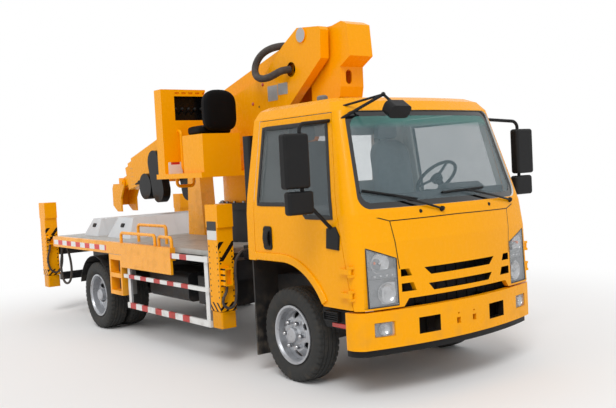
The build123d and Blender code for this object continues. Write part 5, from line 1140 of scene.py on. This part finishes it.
dress(plant_paint, "boom_base")
dress(finish("scraped_section_paint", scraped, **plant_gloss), "boom_middle", "boom_inner")
cover_gloss = clouded(ink(10, 10, 11), ink(20, 20, 21), (6.0, 4.0), (40.0, 3.0, 0.12, 0.1),
                      (240.0, 3.0, 0.0003))
dress(finish("black_gloss_cover", cover_gloss, Coat_Weight=0.08, Specular_IOR_Level=0.1), "boom_fittings")
SLOPE = radians(14.6)
PIVOT = np.array((1.69, 0.0, 3.025))
ALONG = np.array((-cos(SLOPE), 0.0, -sin(SLOPE)))
ABOVE = np.array((-sin(SLOPE), 0.0, cos(SLOPE)))


def on_boom(along, across, above):
    """Point at steps along, across and above the boom's line, from its pin."""
    return PIVOT + along * ALONG + np.array((0.0, across, 0.0)) + above * ABOVE


SIDE_WALL = 0.135
PIPE_RUN = ((1.15, -0.30), (1.3, -0.295), (2.2, -0.29), (3.0, -0.29), (4.0, -0.285), (4.2, -0.285))
CLIPS = (1.5, 2.2, 2.9, 3.6, 4.1)
pipe = carry(disc(0.011, 10), [on_boom(a, -SIDE_WALL - 0.013, h) for a, h in PIPE_RUN], LEFTWARD)
seats = [on_boom(a, -SIDE_WALL + 0.001, -0.29) for a in CLIPS]
clips = [slab(rounded(0.03, 0.05, 0.006), seat, -ALONG, ABOVE, 0.026, 0.004) for seat in seats]
piece("boom_pipe", [pipe] + clips, black_plastic, "boom")


# Luff cylinder: honed tube on the turntable's foot pin, chromed rod with an eye between the boom's ears.
# The barrel is painted with the boom.
dress(plant_paint, "luff_barrel")
dress(plating, "luff_rod")

# Tip head, arm and bucket: welded cheeks with the rotator post, a bent arm and a moulded two-person tub.
# The head and arm are painted; the tub is glass-reinforced moulding in the same yellow.
dress(plant_paint, "boom_head", "bucket_arm")
TUB_X, TUB_HALF_X = -1.80, 0.5255
TUB_Y, TUB_HALF_Y = 0.595, 0.2855


def moulded_tub(point, x, y, z):
    """Yellow outside, pale within the walls."""
    inside = (abs(x - TUB_X) < TUB_HALF_X).both(abs(y - TUB_Y) < TUB_HALF_Y)
    tone = point.grain(3.0, 4.0).blend(PLANT_YELLOW, darker(PLANT_YELLOW, 0.86))
    return {"Base Color": inside.blend(tone, ink(188, 186, 178)),
            "Roughness": point.grain(60.0, 4.0) * 0.2 + 0.32,
            "Normal": point.grain(180.0, 4.0).bump(0.0008)}


dress(finish("moulded_tub_yellow", moulded_tub), "bucket")


# Hoses: a sheathed bundle from the turntable's wall to the boom's root, and single hoses to each outrigger.
# Wire-braided rubber in brown-grey sheathing, clamped in guides at both ends; each sags under its own weight.
def sheathing(point, x, y, z):
    """Braid of two crossing sines under clouds of dust."""
    weave = ((x + z) * 700.0).wave() * ((y - z) * 700.0).wave()
    dust = point.grain(14.0, 5.0).rise(0.4, 0.8)
    return {"Base Color": (dust * 0.5).blend(ink(58, 50, 45), ink(104, 94, 84)),
            "Roughness": dust * 0.2 + 0.6, "Normal": weave.bump(0.001)}


sheath = finish("hose_sheathing", sheathing)


def hose(name, node, route, diameter, body):
    """NURBS line of order 3 with the route as its control points, filled round to the hose's diameter."""
    line = bpy.data.curves.new(name, "CURVE")
    line.dimensions = "3D"
    line.bevel_depth = diameter / 2
    line.bevel_resolution = 5
    line.use_fill_caps = True
    line.resolution_u = 12
    spline = line.splines.new("NURBS")
    spline.points.add(len(route) - 1)
    spline.points.foreach_set("co", np.c_[route, np.ones(len(route))].ravel())
    spline.order_u = 3
    spline.use_endpoint_u = True
    line.materials.append(sheath)
    made = bpy.data.objects.new(name, line)
    bpy.context.scene.collection.objects.link(made)
    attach(made, body)
    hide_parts(node)


BOOM_HOSE = ((1.310, -0.135, 2.985), (1.310, -0.205, 2.985), (1.225, -0.270, 2.975), (1.120, -0.305, 2.945),
             (1.035, -0.325, 2.885), (1.010, -0.350, 2.800), (1.060, -0.375, 2.720), (1.160, -0.390, 2.675),
             (1.290, -0.395, 2.668), (1.400, -0.385, 2.690), (1.480, -0.352, 2.724), (1.497, -0.270, 2.731))
FRONT_HOSE = ((1.412, 1.045, 0.755), (1.412, 1.045, 0.712), (1.415, 1.085, 0.660), (1.420, 1.105, 0.605),
              (1.425, 1.060, 0.548), (1.428, 0.990, 0.560), (1.430, 0.960, 0.640), (1.430, 0.957, 0.760),
              (1.430, 0.962, 0.880), (1.430, 0.950, 0.985), (1.428, 0.900, 1.045), (1.420, 0.850, 1.065),
              (1.420, 0.800, 1.065))
REAR_HOSE = ((-3.130, 1.062, 0.940), (-3.130, 1.062, 0.880), (-3.130, 1.098, 0.790), (-3.130, 1.105, 0.690),
             (-3.130, 1.070, 0.590), (-3.128, 1.000, 0.545), (-3.126, 0.935, 0.585), (-3.124, 0.908, 0.680),
             (-3.121, 0.903, 0.790), (-3.121, 0.903, 0.900))
REAR_LOOP = ((-2.850, 1.0, 0.930), (-2.850, 1.0, 0.880), (-2.885, 1.0, 0.790), (-2.925, 1.0, 0.700),
             (-2.930, 1.0, 0.610), (-2.900, 1.0, 0.500), (-2.810, 1.0, 0.435), (-2.690, 1.0, 0.440),
             (-2.590, 1.0, 0.510), (-2.545, 1.0, 0.620), (-2.570, 1.0, 0.760), (-2.640, 1.0, 0.880),
             (-2.674, 1.0, 0.950), (-2.674, 1.0, 1.012))
hose("hose_boom", "boom_hose", BOOM_HOSE, 0.070, "boom")
PAIRS = (("hose_front", "front_hose", FRONT_HOSE, 0.026, 0.97),
         ("hose_rear", "rear_hose", REAR_HOSE, 0.026, 0.90),
         ("hose_loop", "rear_loop", REAR_LOOP, 0.030, 1.37))
for tag, side in SIDES:
    for name, node, route, diameter, length in PAIRS:
        turned = np.array(route) * (1.0, side, 1.0)
        hose(f"{name}_{tag}", f"{node}_{tag}", turned, diameter, "chassis")


# Stage: a plain pale floor that runs to white away from the truck, soft light from above and the front right.
# The camera stands low off the right front corner, as in the photograph.
WHITE = (1.0, 1.0, 1.0, 1.0)
FLOOR_REACH = 60.0
RAYS = ("Is Camera Ray", "Is Glossy Ray", "Is Transmission Ray")


def looked_at(start):
    """1 for rays that are seen, straight on, in gloss or through glass; 0 for those that only carry light."""
    direct, gloss, through = [start.node("ShaderNodeLightPath", out=ray) for ray in RAYS]
    return direct.either(gloss).either(through)


floor = bpy.data.meshes.new("floor")
corners = np.array(((-1, -1, 0), (1, -1, 0), (1, 1, 0), (-1, 1, 0))) * FLOOR_REACH
floor.from_pydata(corners.tolist(), [], [(0, 1, 2, 3)])
pale = bpy.data.materials.new("pale_floor")
pale.use_nodes = True
tree = pale.node_tree
shader = tree.nodes["Principled BSDF"]
shader.inputs["Base Color"].default_value = (0.86, 0.86, 0.86, 1.0)
shader.inputs["Roughness"].default_value = 0.9
point = Shade(tree).node("ShaderNodeTexCoord", out="Object")
away = point.node("ShaderNodeVectorMath", {"operation": "LENGTH"}, {0: point}, "Value").rise(3.6, 6.5)
white = point.node("ShaderNodeEmission", None, {"Color": WHITE, "Strength": 1.0})
plain = Shade(tree, shader.outputs["BSDF"])
mixed = point.node("ShaderNodeMixShader", None, {0: away * looked_at(point), 1: plain, 2: white})
tree.links.new(mixed.socket, tree.nodes["Material Output"].inputs["Surface"])
floor.materials.append(pale)
ground = bpy.data.objects.new("floor", floor)
bpy.context.scene.collection.objects.link(ground)

world = bpy.data.worlds.new("studio")
world.use_nodes = True
bpy.context.scene.world = world
tree = world.node_tree
backdrop = tree.nodes["Background"]
backdrop.inputs["Color"].default_value = WHITE
strength = looked_at(Shade(tree)) * 0.28 + 0.72
tree.links.new(strength.socket, backdrop.inputs["Strength"])

sun = bpy.data.lights.new("soft_sun", "SUN")
sun.energy = 1.35
sun.angle = radians(25.0)
lamp = bpy.data.objects.new("soft_sun", sun)
lamp.rotation_euler = (radians(42.0), 0.0, radians(46.0))
bpy.context.scene.collection.objects.link(lamp)

EYE = (7.8946, -4.8915, 1.7964)
YAW, PITCH, ROLL = radians(142.7734), radians(-2.5741), radians(-2.9539)
PICTURE_WIDTH, FOCAL_PIXELS, CENTRE_PIXEL = 616.0, 826.56, 317.19
SENSOR = 36.0
ahead = np.array((cos(PITCH) * cos(YAW), cos(PITCH) * sin(YAW), sin(PITCH)))
level = np.cross(ahead, UPWARD)
level /= np.linalg.norm(level)
upright = np.cross(level, ahead)
right = cos(ROLL) * level + sin(ROLL) * upright
top = -sin(ROLL) * level + cos(ROLL) * upright
view = bpy.data.cameras.new("camera")
view.sensor_width = SENSOR
view.lens = SENSOR * FOCAL_PIXELS / PICTURE_WIDTH
view.shift_x = (PICTURE_WIDTH / 2 - CENTRE_PIXEL) / PICTURE_WIDTH
view.clip_end = 200.0
eye = bpy.data.objects.new("camera", view)
columns = np.stack([right, top, -ahead, EYE], axis=-1)
eye.matrix_world = Matrix([*columns.tolist(), (0.0, 0.0, 0.0, 1.0)])
bpy.context.scene.collection.objects.link(eye)
bpy.context.scene.camera = eye
bpy.context.scene.view_settings.view_transform = "Standard"
